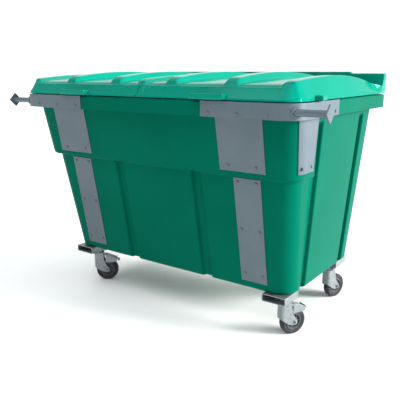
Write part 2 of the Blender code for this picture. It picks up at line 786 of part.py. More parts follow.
def make_wheel(where, pivot):
    half, radius = TYRE_HALF_WIDTH, WHEEL_RADIUS
    tread = [(radius - 0.010, half), (radius - 0.004, half - 0.002), (radius, half - 0.007)]
    profile = tread + [(r, -z) for r, z in reversed(tread)] + [(TYRE_BORE, -half), (TYRE_BORE, half)]
    tyre = turned(f"tyre_{where}", profile, RUBBER, pivot, WHEEL_SIDES, ring=True)
    bore, boss = AXLE_RADIUS + 0.0004, LEG_INNER - 0.001
    face = [(bore, boss), (0.015, boss), (0.015, 0.009), (HUB_RADIUS, 0.016)]
    profile = face + [(r, -z) for r, z in reversed(face)]
    hub = turned(f"hub_{where}", profile, GREY_PLASTIC, pivot, WHEEL_SIDES, ring=True)
    for piece in (tyre, hub):
        piece.location = (TRAIL, 0.0, AXLE_Z)
        piece.rotation_euler = (-math.pi / 2, math.pi / WHEEL_SIDES, 0.0)


def make_pedal(where, pivot):
    """Brake lever over the back of the wheel: a bent blade, a cheek beside each face of the
    tyre, a round tip to step on and the cross shaft it turns on."""
    px, pz = PEDAL_PIVOT
    tip_x, tip_z = PEDAL_TIP
    line = [(px - 0.008, 0.1550), (0.048, 0.1550), (0.090, 0.1400), (0.112, 0.1300)]
    blade = line + [(x, z - 0.0025) for x, z in reversed(line)]
    cheek = [(0.046, 0.1550)] + line[1:] + [(0.110, 0.1080), (0.046, 0.1040)]
    neck = [(0.108, 0.1312), (0.108, 0.1280), (tip_x - 0.002, tip_z), (tip_x + 0.002, tip_z + 0.003)]

    def shifted(outline):
        return [(x - px, z - pz) for x, z in outline]

    inner = PEDAL_HALF_WIDTH - CHEEK_THICK
    half = inner - GAP
    mesh = prism_mesh([shifted(blade)], -half, half, "XZ")
    pedal = place(f"brake_pedal_{where}", mesh, ZINC, pivot)
    pedal.location = (px, 0.0, pz)
    for sign, number in ((1, 1), (-1, 2)):
        faces = sorted((sign * inner, sign * PEDAL_HALF_WIDTH))
        plate = prism_mesh([shifted(cheek)], *faces, "XZ")
        place(f"pedal_cheek_{where}_{number}", plate, ZINC, pivot).location = (px, 0.0, pz)
    join_solid(pedal, prism_mesh([shifted(neck)], -0.008, 0.008, "XZ"), f"neck_{where}")
    reach = LEG_INNER - 2 * GAP
    shaft = cylinder_mesh(0.0045, -reach, reach, "Y", (0.0, 0.0, 0.0), 16)
    join_solid(pedal, shaft, f"pedal_shaft_{where}")
    tip = cylinder_mesh(0.0075, -0.0095, 0.0095, "Y", (tip_x - px, 0.0, tip_z - pz), 16)
    join_solid(pedal, tip, f"pedal_tip_{where}")


def make_caster(row, side, sign):
    where = f"{row}_{side}"
    centre = (sign * CASTER_X, CASTER_Y[row])
    outwards = -1.0 if row == "front" else 1.0
    make_bracket(where, centre, outwards)
    fixed = bpy.data.objects.new(f"mount_{where}", None)
    swivel = bpy.data.objects.new(f"pivot_{where}", None)
    for empty in (fixed, swivel):
        empty.location = (centre[0], centre[1], 0.0)
        MODEL.objects.link(empty)
    swivel.rotation_euler = (0.0, 0.0, CASTER_HEADING[where])
    make_top_plate(where, fixed)
    make_fork(where, swivel)
    make_axle(where, swivel)
    make_wheel(where, swivel)
    if row == "front":
        make_pedal(where, swivel)


# ---------------------------------------------------------------- model
clear_scene()
MODEL = new_collection("waste_container")
CUTTERS = new_collection("cutters")

GREEN_PLASTIC = make_material("green_plastic", (0.0, 0.235, 0.145), 0.28)
PAINTED_STEEL = make_material("painted_steel", (0.30, 0.33, 0.37), 0.45)
ZINC = make_material("zinc_plated_steel", (0.62, 0.64, 0.66), 0.35, 0.9)
RUBBER = make_material("rubber", (0.035, 0.037, 0.040), 0.65)
GREY_PLASTIC = make_material("grey_plastic", (0.16, 0.165, 0.17), 0.5)

make_tub()
for side_name, direction in SIDES:
    make_rim_plate(side_name, direction)
    make_front_plate(f"upper_plate_{side_name}", direction, UPPER_PLATE_X, UPPER_PLATE_Z, True)
    make_front_plate(f"lower_plate_{side_name}", direction, LOWER_PLATE_X, LOWER_PLATE_Z, False)
    make_side_plate(side_name, direction)
    make_trunnion(side_name, direction)
    make_lid_set(side_name, direction)
    for row_name in ("front", "rear"):
        make_caster(row_name, side_name, direction)
bpy.context.view_layer.update()
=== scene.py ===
"""Looks of the four-wheel waste container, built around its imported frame.

Every visible part is remade here with rounded edges, rivets, bolts and welds,
and rides on the body of the plain part that it stands for.  Metres, +Z up, the
front of the container towards -Y.
"""
import math

import bmesh
import bpy
from mathutils import Matrix, Vector


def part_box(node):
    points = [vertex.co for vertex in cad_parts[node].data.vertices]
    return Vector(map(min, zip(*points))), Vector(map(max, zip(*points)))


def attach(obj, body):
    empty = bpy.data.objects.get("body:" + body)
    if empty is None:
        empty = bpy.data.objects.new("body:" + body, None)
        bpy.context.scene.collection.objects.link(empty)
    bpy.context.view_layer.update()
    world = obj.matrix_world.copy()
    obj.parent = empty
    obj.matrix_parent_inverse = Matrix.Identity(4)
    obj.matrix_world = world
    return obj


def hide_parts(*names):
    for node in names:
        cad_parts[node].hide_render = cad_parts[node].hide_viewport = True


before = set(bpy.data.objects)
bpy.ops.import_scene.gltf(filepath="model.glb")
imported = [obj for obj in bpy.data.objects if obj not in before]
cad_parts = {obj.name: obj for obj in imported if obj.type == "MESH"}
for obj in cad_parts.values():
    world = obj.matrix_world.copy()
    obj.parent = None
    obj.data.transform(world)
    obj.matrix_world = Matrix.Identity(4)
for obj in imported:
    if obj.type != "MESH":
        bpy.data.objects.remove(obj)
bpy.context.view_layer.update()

SCENE = bpy.context.scene
SIDES = (("right", 1.0), ("left", -1.0))
CASTERS = (  # side, row and heading in degrees
    ("front_right", 1.0, -1, 62.0), ("front_left", -1.0, -1, 40.0),
    ("rear_right", 1.0, 1, 71.0), ("rear_left", -1.0, 1, 75.0))

# ---------- sizes of the frame
GAP = 0.0003  # clearance between pieces that touch
WALL = 0.005
TUB_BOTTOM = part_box("tub")[0].z
RIM_HALF_LENGTH, RIM_HALF_DEPTH, RIM_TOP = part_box("tub")[1]
RIM_RADIUS = 0.078  # front corners
RIM_BACK_RADIUS = 0.018
RIM_BOTTOM = 1.0153
RIM_OVERHANG = 0.034  # how far the path of the rim goes out from the wall

STEP_Z = 0.7663  # underside of the upper band
STEP_RISE = 0.006
BOTTOM_ROUND = 0.014
BOTTOM_STEPS = 6
BAND_HALF_LENGTH = (0.7527, 0.7357)  # at the rim underside, at the step
BAND_FRONT = (-0.4451, -0.3987)
BODY_HALF_LENGTH = (0.7139, 0.6727)  # at the step, at the bottom
BODY_FRONT = (-0.3724, -0.2785)
SIDE_HALF_LENGTH = (0.7527, 0.6727)  # behind the first groove, top and bottom
BACK_Y = (0.4320, 0.4290)
CORNER_RADIUS = 0.085
GROOVE_DEPTH = 0.018
GROOVE_RUNOUT = (0.975, 1.003)  # heights between which the side grooves fade out
RUNOUT_STEPS = 6
GROOVE_LEAN = 0.007
FRONT_GROOVE = (0.2045, 0.2620)  # between these distances from the middle
SIDE_GROOVE_WIDTH = 0.052
SIDE_GROOVE_A = (-0.213, -0.152)  # centre at the top, at the bottom
SIDE_GROOVE_B = (0.255, 0.283)

PLATE = 0.003
PLATE_FACE = GAP + PLATE  # outer face of a plate, from the wall behind it
RIM_PLATE_START = 0.3504
RIM_PLATE_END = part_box("rim_plate_right")[1].y
UPPER_PLATE_X = (0.388, 0.6084)
UPPER_PLATE_Z = (0.789, 1.040)
LOWER_PLATE_X = (0.4335, 0.5665)
LOWER_PLATE_Z = (0.265, 0.756)
SIDE_PLATE_END = -0.246
SIDE_PLATE_WRAP = math.radians(30.0)
SIDE_PLATE_Z = (0.794, 1.040)

TRUNNION_RADIUS = 0.0135
TRUNNION_Y = -0.468
TRUNNION_Z = 1.045
TRUNNION_END = 0.885
END_PLATE_SIDE = 0.050
END_PLATE_THICK = 0.008

LID_SEAM = 0.0015
LID_HALF_LENGTH = 0.778
LID_FRONT = -0.4935
LID_BACK = 0.4935
LID_BOTTOM = 1.083
LID_EDGE_Z = 1.129
LID_LEAN = 0.032
FRONT_ROLL = (-0.010, 0.034)  # where the top rolls over at the front, from its edge
LID_WALL = 0.004
SHOULDER = 0.005  # rounding between the lid's top and its skirt
SEAM_SHOULDER = 0.003
SKIRT_STEPS = (  # share of the drop, share of the lean, swell outwards
    (0.40, 0.42, 0.0), (0.74, 0.80, 0.0), (0.80, 0.90, 0.0004),
    (0.88, 0.96, 0.0006), (1.0, 1.0, 0.0))
MIDDLE_RIDGE = (0.018, 0.036)  # where the ridge beside the seam falls to the floor
OUTER_RIDGE = (0.676, 0.702)  # where the floor rises to the ridge at the outer end
LID_RADIUS = 0.075
FLOOR_ARCH = (1.1625, 0.130, 0.175)  # peak, and how fast it falls to the front and back
RIDGE_ARCH = (1.1745, 0.128, 0.214)
RIB_ARCH = (1.1885, 0.170, 0.170)
PEAK_Y = -0.06
RIB_CENTRES = (0.164, 0.464)
RIB_TOP = 0.046
RIB_BASE = 0.080
RIB_NOSE = (-0.456, -0.430)
FLANGE_Y = (0.446, 0.466)
FLANGE_Z = (1.187, 1.179)
FLANGE_STEP_X = 0.600
GRIP_X = 0.388
GRIP_SIZE = (0.166, 0.050, 0.024)
GRIP_OUT = 0.0245
SIDE_GRIP_SIZE = (0.050, 0.040, 0.020)
SIDE_GRIP_X = 0.783
SIDE_GRIP_Y = -0.320

HINGE_Y = 0.507
HINGE_Z = 1.095
ROD_RADIUS = 0.005
EYE_RADIUS = 0.011
EYE_HOLE = 0.0053
TAIL_THICK = 0.004
LUG_WIDTH = 0.030
HINGE_PLACES = (0.150, 0.630)
RIVET_PAIR = (-0.008, 0.008)

CASTER_X = 0.603
CASTER_Y = {-1: -0.202, 1: 0.313}  # front row, rear row
BRACKET = (0.118, 0.130, 0.036)
BRACKET_WALL = 0.004
BRACKET_SHIFT = 0.030
TOP_PLATE = (0.100, 0.084, 0.004)
TRAIL = 0.055
WHEEL_RADIUS = 0.0632
TYRE_HALF_WIDTH = 0.018
TYRE_BORE = 0.0408
HUB_RADIUS = 0.0404
LEG_INNER = 0.0225
LEG_THICK = 0.003
FORK_FRONT = -0.016
FORK_BEND = 0.011
AXLE_RADIUS = 0.006
AXLE_Z = 0.0632
CROWN_TOP = 0.1712
CROWN_THICK = 0.005
CROWN_RADIUS = 0.041
KING_HOLE = 0.0078
PEDAL_PIVOT = (0.040, 0.150)
PEDAL_HALF_WIDTH = 0.0207
CHEEK_THICK = 0.0020
PEDAL_TIP = (0.1215, 0.1190)
UPSIDE_DOWN = Matrix.Rotation(math.pi, 4, "X")
SHARP_ANGLE = math.radians(38.0)  # edges sharper than this are not shaded smooth


# ---------- materials
def add_node(tree, kind, **settings):
    node = tree.nodes.new(kind)
    for key, value in settings.items():
        setattr(node, key, value)
    return node


def noise_mask(tree, scale, low, high, detail=3.0, stretch=(1.0, 1.0, 1.0)):
    """Noise over the piece's own coordinates, spread out to run from 0 to 1."""
    place = add_node(tree, "ShaderNodeTexCoord")
    turn = add_node(tree, "ShaderNodeMapping")
    turn.inputs["Scale"].default_value = stretch
    tree.links.new(place.outputs["Object"], turn.inputs["Vector"])
    noise = add_node(tree, "ShaderNodeTexNoise")
    noise.inputs["Scale"].default_value = scale
    noise.inputs["Detail"].default_value = detail
    tree.links.new(turn.outputs["Vector"], noise.inputs["Vector"])
    spread = add_node(tree, "ShaderNodeMapRange")
    spread.inputs["From Min"].default_value = low
    spread.inputs["From Max"].default_value = high
    tree.links.new(noise.outputs["Fac"], spread.inputs["Value"])
    return spread.outputs["Result"]


def mix_colour(tree, factor, first, second):
    """A colour between two others, each given as numbers or as another node's output."""
    node = add_node(tree, "ShaderNodeMix", data_type="RGBA")
    tree.links.new(factor, node.inputs["Factor"])
    for socket, value in ((node.inputs[6], first), (node.inputs[7], second)):
        if isinstance(value, bpy.types.NodeSocket):
            tree.links.new(value, socket)
        else:
            socket.default_value = (*value, 1.0)
    return node.outputs[2]


def mix_value(tree, factor, first, second):
    """A number between two others."""
    node = add_node(tree, "ShaderNodeMapRange")
    tree.links.new(factor, node.inputs["Value"])
    node.inputs["To Min"].default_value = first
    node.inputs["To Max"].default_value = second
    return node.outputs["Result"]


def bump(tree, height, distance, strength, under=None):
    """A normal that follows a height, on top of another normal if one is given."""
    node = add_node(tree, "ShaderNodeBump")
    node.inputs["Distance"].default_value = distance
    node.inputs["Strength"].default_value = strength
    tree.links.new(height, node.inputs["Height"])
    if under:
        tree.links.new(under, node.inputs["Normal"])
    return node.outputs["Normal"]


def new_material(name, metallic=0.0, specular=0.5):
    material = bpy.data.materials.new(name)
    material.use_nodes = True
    shader = material.node_tree.nodes["Principled BSDF"]
    shader.inputs["Metallic"].default_value = metallic
    shader.inputs["Specular IOR Level"].default_value = specular
    return material, material.node_tree, shader


def connect(tree, shader, colour, roughness, normal):
    tree.links.new(colour, shader.inputs["Base Color"])
    tree.links.new(roughness, shader.inputs["Roughness"])
    tree.links.new(normal, shader.inputs["Normal"])


def plastic(name, colour, deep, gloss, specular, peel):
    """Moulded green plastic: a faint mottle, long fine scuffs and a slight ripple.

    Like patchy, it gives the material and the slot that a piece made of it fills.
    """
    material, tree, shader = new_material(name, specular=specular)
    shader.inputs["Specular Tint"].default_value = (0.10, 1.0, 0.85, 1.0)
    base = mix_colour(tree, noise_mask(tree, 2.6, 0.3, 0.7), deep, colour)
    worn = [0.97 * channel + 0.008 for channel in colour]
    grain = noise_mask(tree, 140.0, 0.35, 0.65, 2.0)
    scuff = noise_mask(tree, 7.0, 0.66, 0.74, 6.0, (1.0, 1.0, 14.0))
    for mask, share in ((grain, 0.10), (scuff, 0.22)):
        base = mix_colour(tree, mix_value(tree, mask, 0.0, share), base, worn)
    rough = mix_value(tree, noise_mask(tree, 16.0, 0.60, 0.80, 5.0), *gloss)
    ripple = bump(tree, noise_mask(tree, 3.2, 0.2, 0.8, 1.0), 0.010, 0.10)
    normal = bump(tree, noise_mask(tree, 420.0, 0.3, 0.7, 1.0), 0.0004, peel, ripple)
    connect(tree, shader, base, rough, normal)
    return material, "green_plastic"


def spangles(tree):
    """A random grey for each crystal of a zinc coat."""
    place = add_node(tree, "ShaderNodeTexCoord")
    crystals = add_node(tree, "ShaderNodeTexVoronoi", feature="F1")
    crystals.inputs["Scale"].default_value = 160.0
    tree.links.new(place.outputs["Object"], crystals.inputs["Vector"])
    grey = add_node(tree, "ShaderNodeRGBToBW")
    tree.links.new(crystals.outputs["Color"], grey.inputs["Color"])
    return grey.outputs["Val"]


def patchy(name, slot, base, shine, grain, marks=None, metallic=0.0, specular=0.5):
    """A surface in two patchy colours, with an uneven shine, a fine grain and marks.

    Each of base, shine, grain and marks starts with the settings of its noise mask, where
    None stands for spangles. After it come two colours, two roughnesses, a distance and a
    strength, or a share and a colour.
    """
    material, tree, shader = new_material(name, metallic, specular)
    mask, first, second = base
    factor = noise_mask(tree, *mask) if mask else spangles(tree)
    colour = mix_colour(tree, factor, first, second)
    if marks:
        mask, share, third = marks
        amount = mix_value(tree, noise_mask(tree, *mask), 0.0, share)
        colour = mix_colour(tree, amount, colour, third)
    mask, *roughness = shine
    rough = mix_value(tree, noise_mask(tree, *mask), *roughness)
    mask, *relief = grain
    connect(tree, shader, colour, rough, bump(tree, noise_mask(tree, *mask), *relief))
    return material, slot


TUB_PLASTIC = plastic(
    "green_tub", (0.0, 0.112, 0.070), (0.0, 0.097, 0.060), (0.30, 0.42), 0.012, 0.06)
LID_PLASTIC = plastic(
    "green_lid", (0.0, 0.216, 0.150), (0.0, 0.193, 0.134), (0.11, 0.20), 0.16, 0.05)
PAINT = patchy(
    "grey_paint", "painted_steel", metallic=0.15, specular=0.45,
    base=((5.0, 0.3, 0.7, 4.0), (0.070, 0.102, 0.124), (0.088, 0.121, 0.146)),
    marks=((60.0, 0.70, 0.74, 4.0), 0.35, (0.19, 0.22, 0.25)),  # small chips
    shine=((11.0, 0.3, 0.7, 4.0), 0.38, 0.52), grain=((260.0, 0.3, 0.7, 2.0), 0.0004, 0.12))
ZINC = patchy(
    "zinc_plate", "zinc_plated_steel", metallic=0.72,
    base=(None, (0.20, 0.225, 0.24), (0.29, 0.315, 0.33)),
    marks=((30.0, 0.55, 0.75, 5.0), 0.5, (0.13, 0.13, 0.13)),  # grime
    shine=((45.0, 0.3, 0.7, 3.0), 0.26, 0.46),
    grain=((300.0, 0.3, 0.7, 2.0, (1.0, 1.0, 5.0)), 0.0003, 0.10))
RUBBER = patchy(
    "tyre_rubber", "rubber", specular=0.35,
    base=((55.0, 0.45, 0.75, 5.0), (0.013, 0.015, 0.018), (0.040, 0.043, 0.046)),
    shine=((30.0, 0.3, 0.7), 0.55, 0.80), grain=((500.0, 0.3, 0.7, 3.0), 0.0004, 0.35))
NYLON = patchy(
    "hub_nylon", "grey_plastic", specular=0.4,
    base=((40.0, 0.35, 0.7, 4.0), (0.045, 0.050, 0.056), (0.075, 0.080, 0.088)),
    shine=((60.0, 0.3, 0.7), 0.42, 0.60), grain=((600.0, 0.3, 0.7, 2.0), 0.0003, 0.20))
FLOOR, _ = patchy(
    "studio_floor", None, specular=0.2,
    base=((0.8, 0.3, 0.7), (0.86, 0.86, 0.86), (0.90, 0.90, 0.90)),
    shine=((0.8, 0.3, 0.7), 0.75, 0.85), grain=((60.0, 0.3, 0.7), 0.0005, 0.10))


# ---------- mesh helpers
def mix(start, end, part):
    return start + (end - start) * part


def smoothstep(start, end, value):
    part = min(1.0, max(0.0, (value - start) / (end - start)))
    return part * part * (3.0 - 2.0 * part)


def rounded_path(corners, closed=False):
    """A polyline through corners (x, y, cut, steps), rounded from cut before to cut after each."""
    points = []
    last = len(corners) - 1
    for i, (x, y, cut, steps) in enumerate(corners):
        here = Vector((x, y))
        if not cut or (not closed and i in (0, last)):
            points.append((x, y))
            continue
        before = Vector(corners[i - 1][:2])
        after = Vector(corners[0 if i == last else i + 1][:2])
        start = here + (before - here).normalized() * cut
        end = here + (after - here).normalized() * cut
        weight = math.cos((here - before).angle(after - here) / 2)
        for k in range(steps + 1):
            t = k / steps
            a, b, c = (1 - t) ** 2, 2 * weight * t * (1 - t), t * t
            points.append(tuple((start * a + here * b + end * c) / (a + b + c)))
    return points


def arc(centre, radius, start, end, steps):
    """Points of an arc between two angles in degrees, both ends included."""
    angles = [math.radians(mix(start, end, i / steps)) for i in range(steps + 1)]
    return [(centre[0] + radius * math.cos(a), centre[1] + radius * math.sin(a)) for a in angles]


def circle(centre, radius, steps=32):
    return arc(centre, radius, 0.0, 360.0, steps)[:-1]


def mesh_from(points, faces):
    mesh = bpy.data.meshes.new("piece")
    mesh.from_pydata(points, [], faces)
    return mesh


def strip_faces(count, rows, closed=True, looped=False):
    """Quads between neighbouring rows of points, each row closed on itself or open.

    If looped, the last row meets the first one again.
    """
    faces = []
    for j in range(rows if looped else rows - 1):
        near, far = j * count, (j + 1) % rows * count
        for i in range(count if closed else count - 1):
            k = (i + 1) % count
            faces.append((near + i, near + k, far + k, far + i))
    return faces


def modified(mesh, *steps):
    """The mesh with modifiers applied; a step is a modifier's type and its settings."""
    holder = bpy.data.objects.new("work", mesh)
    SCENE.collection.objects.link(holder)
    for kind, settings in steps:
        modifier = holder.modifiers.new(kind, kind)
        for key, value in settings.items():
            setattr(modifier, key, value)
    graph = bpy.context.evaluated_depsgraph_get()
    result = bpy.data.meshes.new_from_object(holder.evaluated_get(graph))
    bpy.data.objects.remove(holder)
    return result


def solidify(thickness, offset):
    return "SOLIDIFY", {"thickness": thickness, "offset": offset, "use_quality_normals": True}


def soften(width, angle=50.0):
    limit = math.radians(angle)
    return "BEVEL", {"width": width, "segments": 2, "limit_method": "ANGLE", "angle_limit": limit}


def combined(operation, first, *others):
    """Exact union, difference or intersection of closed meshes."""
    result = first
    for other in others:
        cutter = bpy.data.objects.new("cutter", other)
        SCENE.collection.objects.link(cutter)
        cutter.hide_render = True
        settings = {"operation": operation, "solver": "EXACT", "object": cutter}
        result = modified(result, ("BOOLEAN", settings))
        bpy.data.objects.remove(cutter)
    return result


def edited(mesh, change):
    """The mesh after a change that is made on it as a bmesh."""
    bm = bmesh.new()
    bm.from_mesh(mesh)
    change(bm)
    bm.to_mesh(mesh)
    bm.free()
    return mesh


def joined(meshes):
    """Several separate meshes as one, such as a group of bolts."""
    def collect(bm):
        for mesh in meshes:
            bm.from_mesh(mesh)
    return edited(bpy.data.meshes.new("group"), collect)


def moved(mesh, *matrices):
    """A copy of the mesh, moved by the matrices, the first one last."""
    result = mesh.copy()
    for matrix in reversed(matrices):
        result.transform(matrix)
    return result


def flipped(mesh, sign):
    """The mesh itself, or its mirror image for the left-hand side."""
    if sign < 0:
        mesh.transform(Matrix.Scale(-1.0, 4, Vector((1, 0, 0))))
        mesh.flip_normals()
    return mesh


def plate_mesh(outlines, start, end, plane, bevel=0.0):
    """Flat outlines, the later ones being holes, with some thickness and rounded edges."""
    curve = bpy.data.curves.new("outline", "CURVE")
    curve.dimensions = "2D"
    curve.fill_mode = "BOTH"
    curve.extrude = (end - start) / 2 - bevel
    curve.bevel_depth = bevel
    curve.bevel_resolution = 1
    curve.offset = -bevel
    for outline in outlines:
        spline = curve.splines.new("POLY")
        spline.points.add(len(outline) - 1)
        for point, (u, v) in zip(spline.points, outline):
            point.co = (u, v, 0.0, 1.0)
        spline.use_cyclic_u = True
    holder = bpy.data.objects.new("outline", curve)
    SCENE.collection.objects.link(holder)
    graph = bpy.context.evaluated_depsgraph_get()
    mesh = bpy.data.meshes.new_from_object(holder.evaluated_get(graph))
    bpy.data.objects.remove(holder)
    middle = (start + end) / 2
    columns = {
        "XY": Matrix(((1, 0, 0, 0), (0, 1, 0, 0), (0, 0, 1, middle), (0, 0, 0, 1))),
        "YZ": Matrix(((0, 0, 1, middle), (1, 0, 0, 0), (0, 1, 0, 0), (0, 0, 0, 1))),
        "XZ": Matrix(((1, 0, 0, 0), (0, 0, -1, middle), (0, 1, 0, 0), (0, 0, 0, 1))),
    }
    mesh.transform(columns[plane])

    def close(bm):
        bmesh.ops.remove_doubles(bm, verts=bm.verts, dist=0.00002)
        bmesh.ops.recalc_face_normals(bm, faces=bm.faces)
    return edited(mesh, close)


def turned(profile, sides):
    """A solid turned about Z from a profile of (radius, z) that runs from bottom to top.

    A profile that starts and ends on the axis closes there; any other is a closed ring.
    """
    solid = profile[0][0] == 0.0
    rings = profile[1:-1] if solid else profile
    points = [(x, y, z) for radius, z in rings for x, y in circle((0.0, 0.0), radius, sides)]
    faces = strip_faces(sides, len(rings), looped=not solid)
    if solid:
        last, low = len(points) - sides, len(points)
        points += [(0.0, 0.0, profile[0][1]), (0.0, 0.0, profile[-1][1])]
        for i in range(sides):
            k = (i + 1) % sides
            faces += [(low, k, i), (low + 1, last + i, last + k)]
    return mesh_from(points, faces)


def chamfered(radius, half, cut, sides):
    """A rod along Z with chamfered ends."""
    profile = [(0.0, -half), (radius - cut, -half), (radius, cut - half), (radius, half - cut)]
    return turned(profile + [(radius - cut, half), (0.0, half)], sides)


def block(low, high, bevel, segments):
    """A box with rounded edges between two corners."""
    low, high = Vector(low), Vector(high)

    def grow(bm):
        bmesh.ops.create_cube(bm, size=1.0)
        bmesh.ops.scale(bm, vec=high - low, verts=bm.verts)
        bmesh.ops.translate(bm, vec=(high + low) / 2, verts=bm.verts)
        bmesh.ops.bevel(
            bm, geom=bm.edges[:], offset=bevel, segments=segments, affect="EDGES", profile=0.5)
    return edited(bpy.data.meshes.new("block"), grow)


def along(direction):
    """Turns +Z to a direction."""
    return Vector(direction).to_track_quat("Z", "Y").to_matrix().to_4x4()


def at_y(x, z):
    """Lays +Z along +Y, through a point of the XZ plane."""
    return Matrix.Translation((x, 0.0, z)) @ along((0, 1, 0))


def rivets(places, radius=0.0072, height=0.0058):
    """Domed rivet heads, each at a point of a surface with the direction it faces."""
    profile = [(0.0, -0.0004), (radius, -0.0004)]
    for x, z in arc((0.0, 0.0), 1.0, 0.0, 75.0, 5):
        profile.append((radius * x, height * z))
    head = turned(profile + [(0.0, height)], 20)
    return joined([moved(head, Matrix.Translation(spot), along(facing)) for spot, facing in places])


def hexagon(width, height, bolt=0.0):
    """A bolt head of that width across its flats, standing on z = 0, with a washer.

    With a bolt's radius it is a nut, and the bolt's end stands out of it.
    """
    corner, base = width / math.sqrt(3.0), 0.0016
    top = base + height
    washer = [(0.0, 0.0), (width * 0.78, 0.0), (width * 0.80, 0.0006), (width * 0.76, base)]
    head = [(0.0, base), (corner, base), (corner, top - 0.0012), (corner * 0.86, top), (0.0, top)]
    parts = [turned(head, 6), turned(washer + [(0.0, base)], 24)]
    if bolt:
        end = top + 0.003
        shank = [(0.0, base), (bolt, base), (bolt, end - 0.001), (bolt * 0.8, end), (0.0, end)]
        parts.append(turned(shank, 16))
    return joined(parts)


def piece(name, mesh, look, body, *nodes):
    """Puts a finished mesh into the scene as one piece that rides on a body, in place of nodes."""
    material, slot = look
    mesh.materials.clear()
    mesh.materials.append(material)
    mesh.shade_smooth()
    mesh.set_sharp_from_angle(angle=SHARP_ANGLE)
    mesh = modified(mesh, ("WEIGHTED_NORMAL", {"keep_sharp": True, "mode": "FACE_AREA"}))
    mesh.name = name
    obj = bpy.data.objects.new(name, mesh)
    SCENE.collection.objects.link(obj)
    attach(obj, body)
    if nodes:
        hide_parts(*nodes)
    return obj


# ---------- tub
def tier(z, upper):
    """Half length of the front corners and the front face at height z."""
    if upper:
        part = (RIM_BOTTOM - z) / (RIM_BOTTOM - STEP_Z)
        return mix(*BAND_HALF_LENGTH, part), mix(*BAND_FRONT, part)
    part = (STEP_Z - z) / (STEP_Z - TUB_BOTTOM)
    return mix(*BODY_HALF_LENGTH, part), mix(*BODY_FRONT, part)


def groove_rounding(dip):
    """How far the outer and the inner edges of a groove are rounded, less where it is shallow."""
    slope = math.hypot(GROOVE_LEAN, dip)
    return min(0.0055, 0.54 * slope), min(0.0045, 0.44 * slope)


def half_outline(corner_x, side_x, front, back, radius, back_radius, front_dip, side_dip, part):
    """Right half of a level outline, from the middle of the front to that of the back."""
    inner, outer = FRONT_GROOVE
    lean = GROOVE_LEAN
    lip, foot = groove_rounding(front_dip)
    floor = front + front_dip
    corners = [(0.0, front, 0.0, 0), (inner, front, lip, 4), (inner + lean, floor, foot, 4)]
    corners += [(outer - lean, floor, foot, 4), (outer, front, lip, 4)]
    corners.append((corner_x, front, radius, 14))
    lip, foot = groove_rounding(side_dip)
    floor = side_x - side_dip
    for groove, start_x in ((SIDE_GROOVE_A, corner_x), (SIDE_GROOVE_B, side_x)):
        near = mix(*groove, part) - SIDE_GROOVE_WIDTH / 2
        far = mix(*groove, part) + SIDE_GROOVE_WIDTH / 2
        corners += [(start_x, near, lip, 4), (floor, near + lean, foot, 4)]
        corners += [(floor, far - lean, foot, 4), (side_x, far, lip, 4)]
    corners.append((side_x, back, back_radius, 14))
    floor = back - side_dip
    corners += [(outer, back, lip, 4), (outer - lean, floor, foot, 4)]
    corners += [(inner + lean, floor, foot, 4), (inner, back, lip, 4), (0.0, back, 0.0, 0)]
    return rounded_path(corners)


def closed_loop(half):
    """The right half and its mirror image as one level loop of (x, y)."""
    return half + [(-x, y) for x, y in half[-2:0:-1]]


def wall_outline(z, band, inset=0.0, groove=1.0):
    """The wall at height z; band goes from 0 on the lower body to 1 on the upper band."""
    part = (RIM_BOTTOM - z) / (RIM_BOTTOM - TUB_BOTTOM)
    low_x, low_front = tier(z, False)
    high_x, high_front = tier(z, True)
    corner_x = mix(low_x, high_x, band) - inset
    front = mix(low_front, high_front, band) + inset
    side_x = mix(*SIDE_HALF_LENGTH, part) - inset
    back = mix(*BACK_Y, part) - inset
    radius = CORNER_RADIUS - inset
    dips = GROOVE_DEPTH * (1.0 - band), GROOVE_DEPTH * groove
    return closed_loop(half_outline(corner_x, side_x, front, back, radius, radius, *dips, part))


def rim_outline(inset):
    reach, depth = RIM_HALF_LENGTH - inset, RIM_HALF_DEPTH - inset
    radii = RIM_RADIUS - inset, RIM_BACK_RADIUS - inset
    return closed_loop(half_outline(reach, reach, -depth, depth, *radii, 0.0, 0.0, 0.0))


def tub_loops():
    """Level loops up the outside of the wall, out under the rim and down inside its skirt."""
    loops = []
    for x, z in arc((0.0, 0.0), BOTTOM_ROUND, -90.0, 0.0, BOTTOM_STEPS):
        z += TUB_BOTTOM + BOTTOM_ROUND
        loops.append((wall_outline(z, 0.0, BOTTOM_ROUND - x), z))
    for z in (0.36, 0.50, 0.63):
        loops.append((wall_outline(z, 0.0), z))
    step = tier(STEP_Z, False)[1] - tier(STEP_Z, True)[1]
    corners = [(0.0, 0.720, 0.0, 0), (0.0, STEP_Z - STEP_RISE, 0.006, 4)]
    corners += [(step, STEP_Z, 0.008, 6), (step, 0.790, 0.0, 0)]
    for out, z in rounded_path(corners):
        loops.append((wall_outline(z, out / step), z))
    for z in (0.85, 0.92, GROOVE_RUNOUT[0]):
        loops.append((wall_outline(z, 1.0), z))
    for k in range(1, RUNOUT_STEPS + 1):
        z = mix(*GROOVE_RUNOUT, k / RUNOUT_STEPS)
        loops.append((wall_outline(z, 1.0, groove=1.0 - smoothstep(0.0, RUNOUT_STEPS, k)), z))
    flange = RIM_TOP - WALL
    wall = wall_outline(flange, 1.0, groove=0.0)
    rim = rim_outline(WALL)
    corners = [(0.0, 1.030, 0.0, 0), (0.0, flange, 0.007, 4), (RIM_OVERHANG, flange, 0.003, 3)]
    corners.append((RIM_OVERHANG, RIM_BOTTOM, 0.0, 0))
    for out, z in rounded_path(corners):
        low = wall if out > 0 else wall_outline(z, 1.0, groove=0.0)
        part = out / RIM_OVERHANG
        loops.append(([(mix(a, c, part), mix(b, d, part)) for (a, b), (c, d) in zip(low, rim)], z))
    return loops


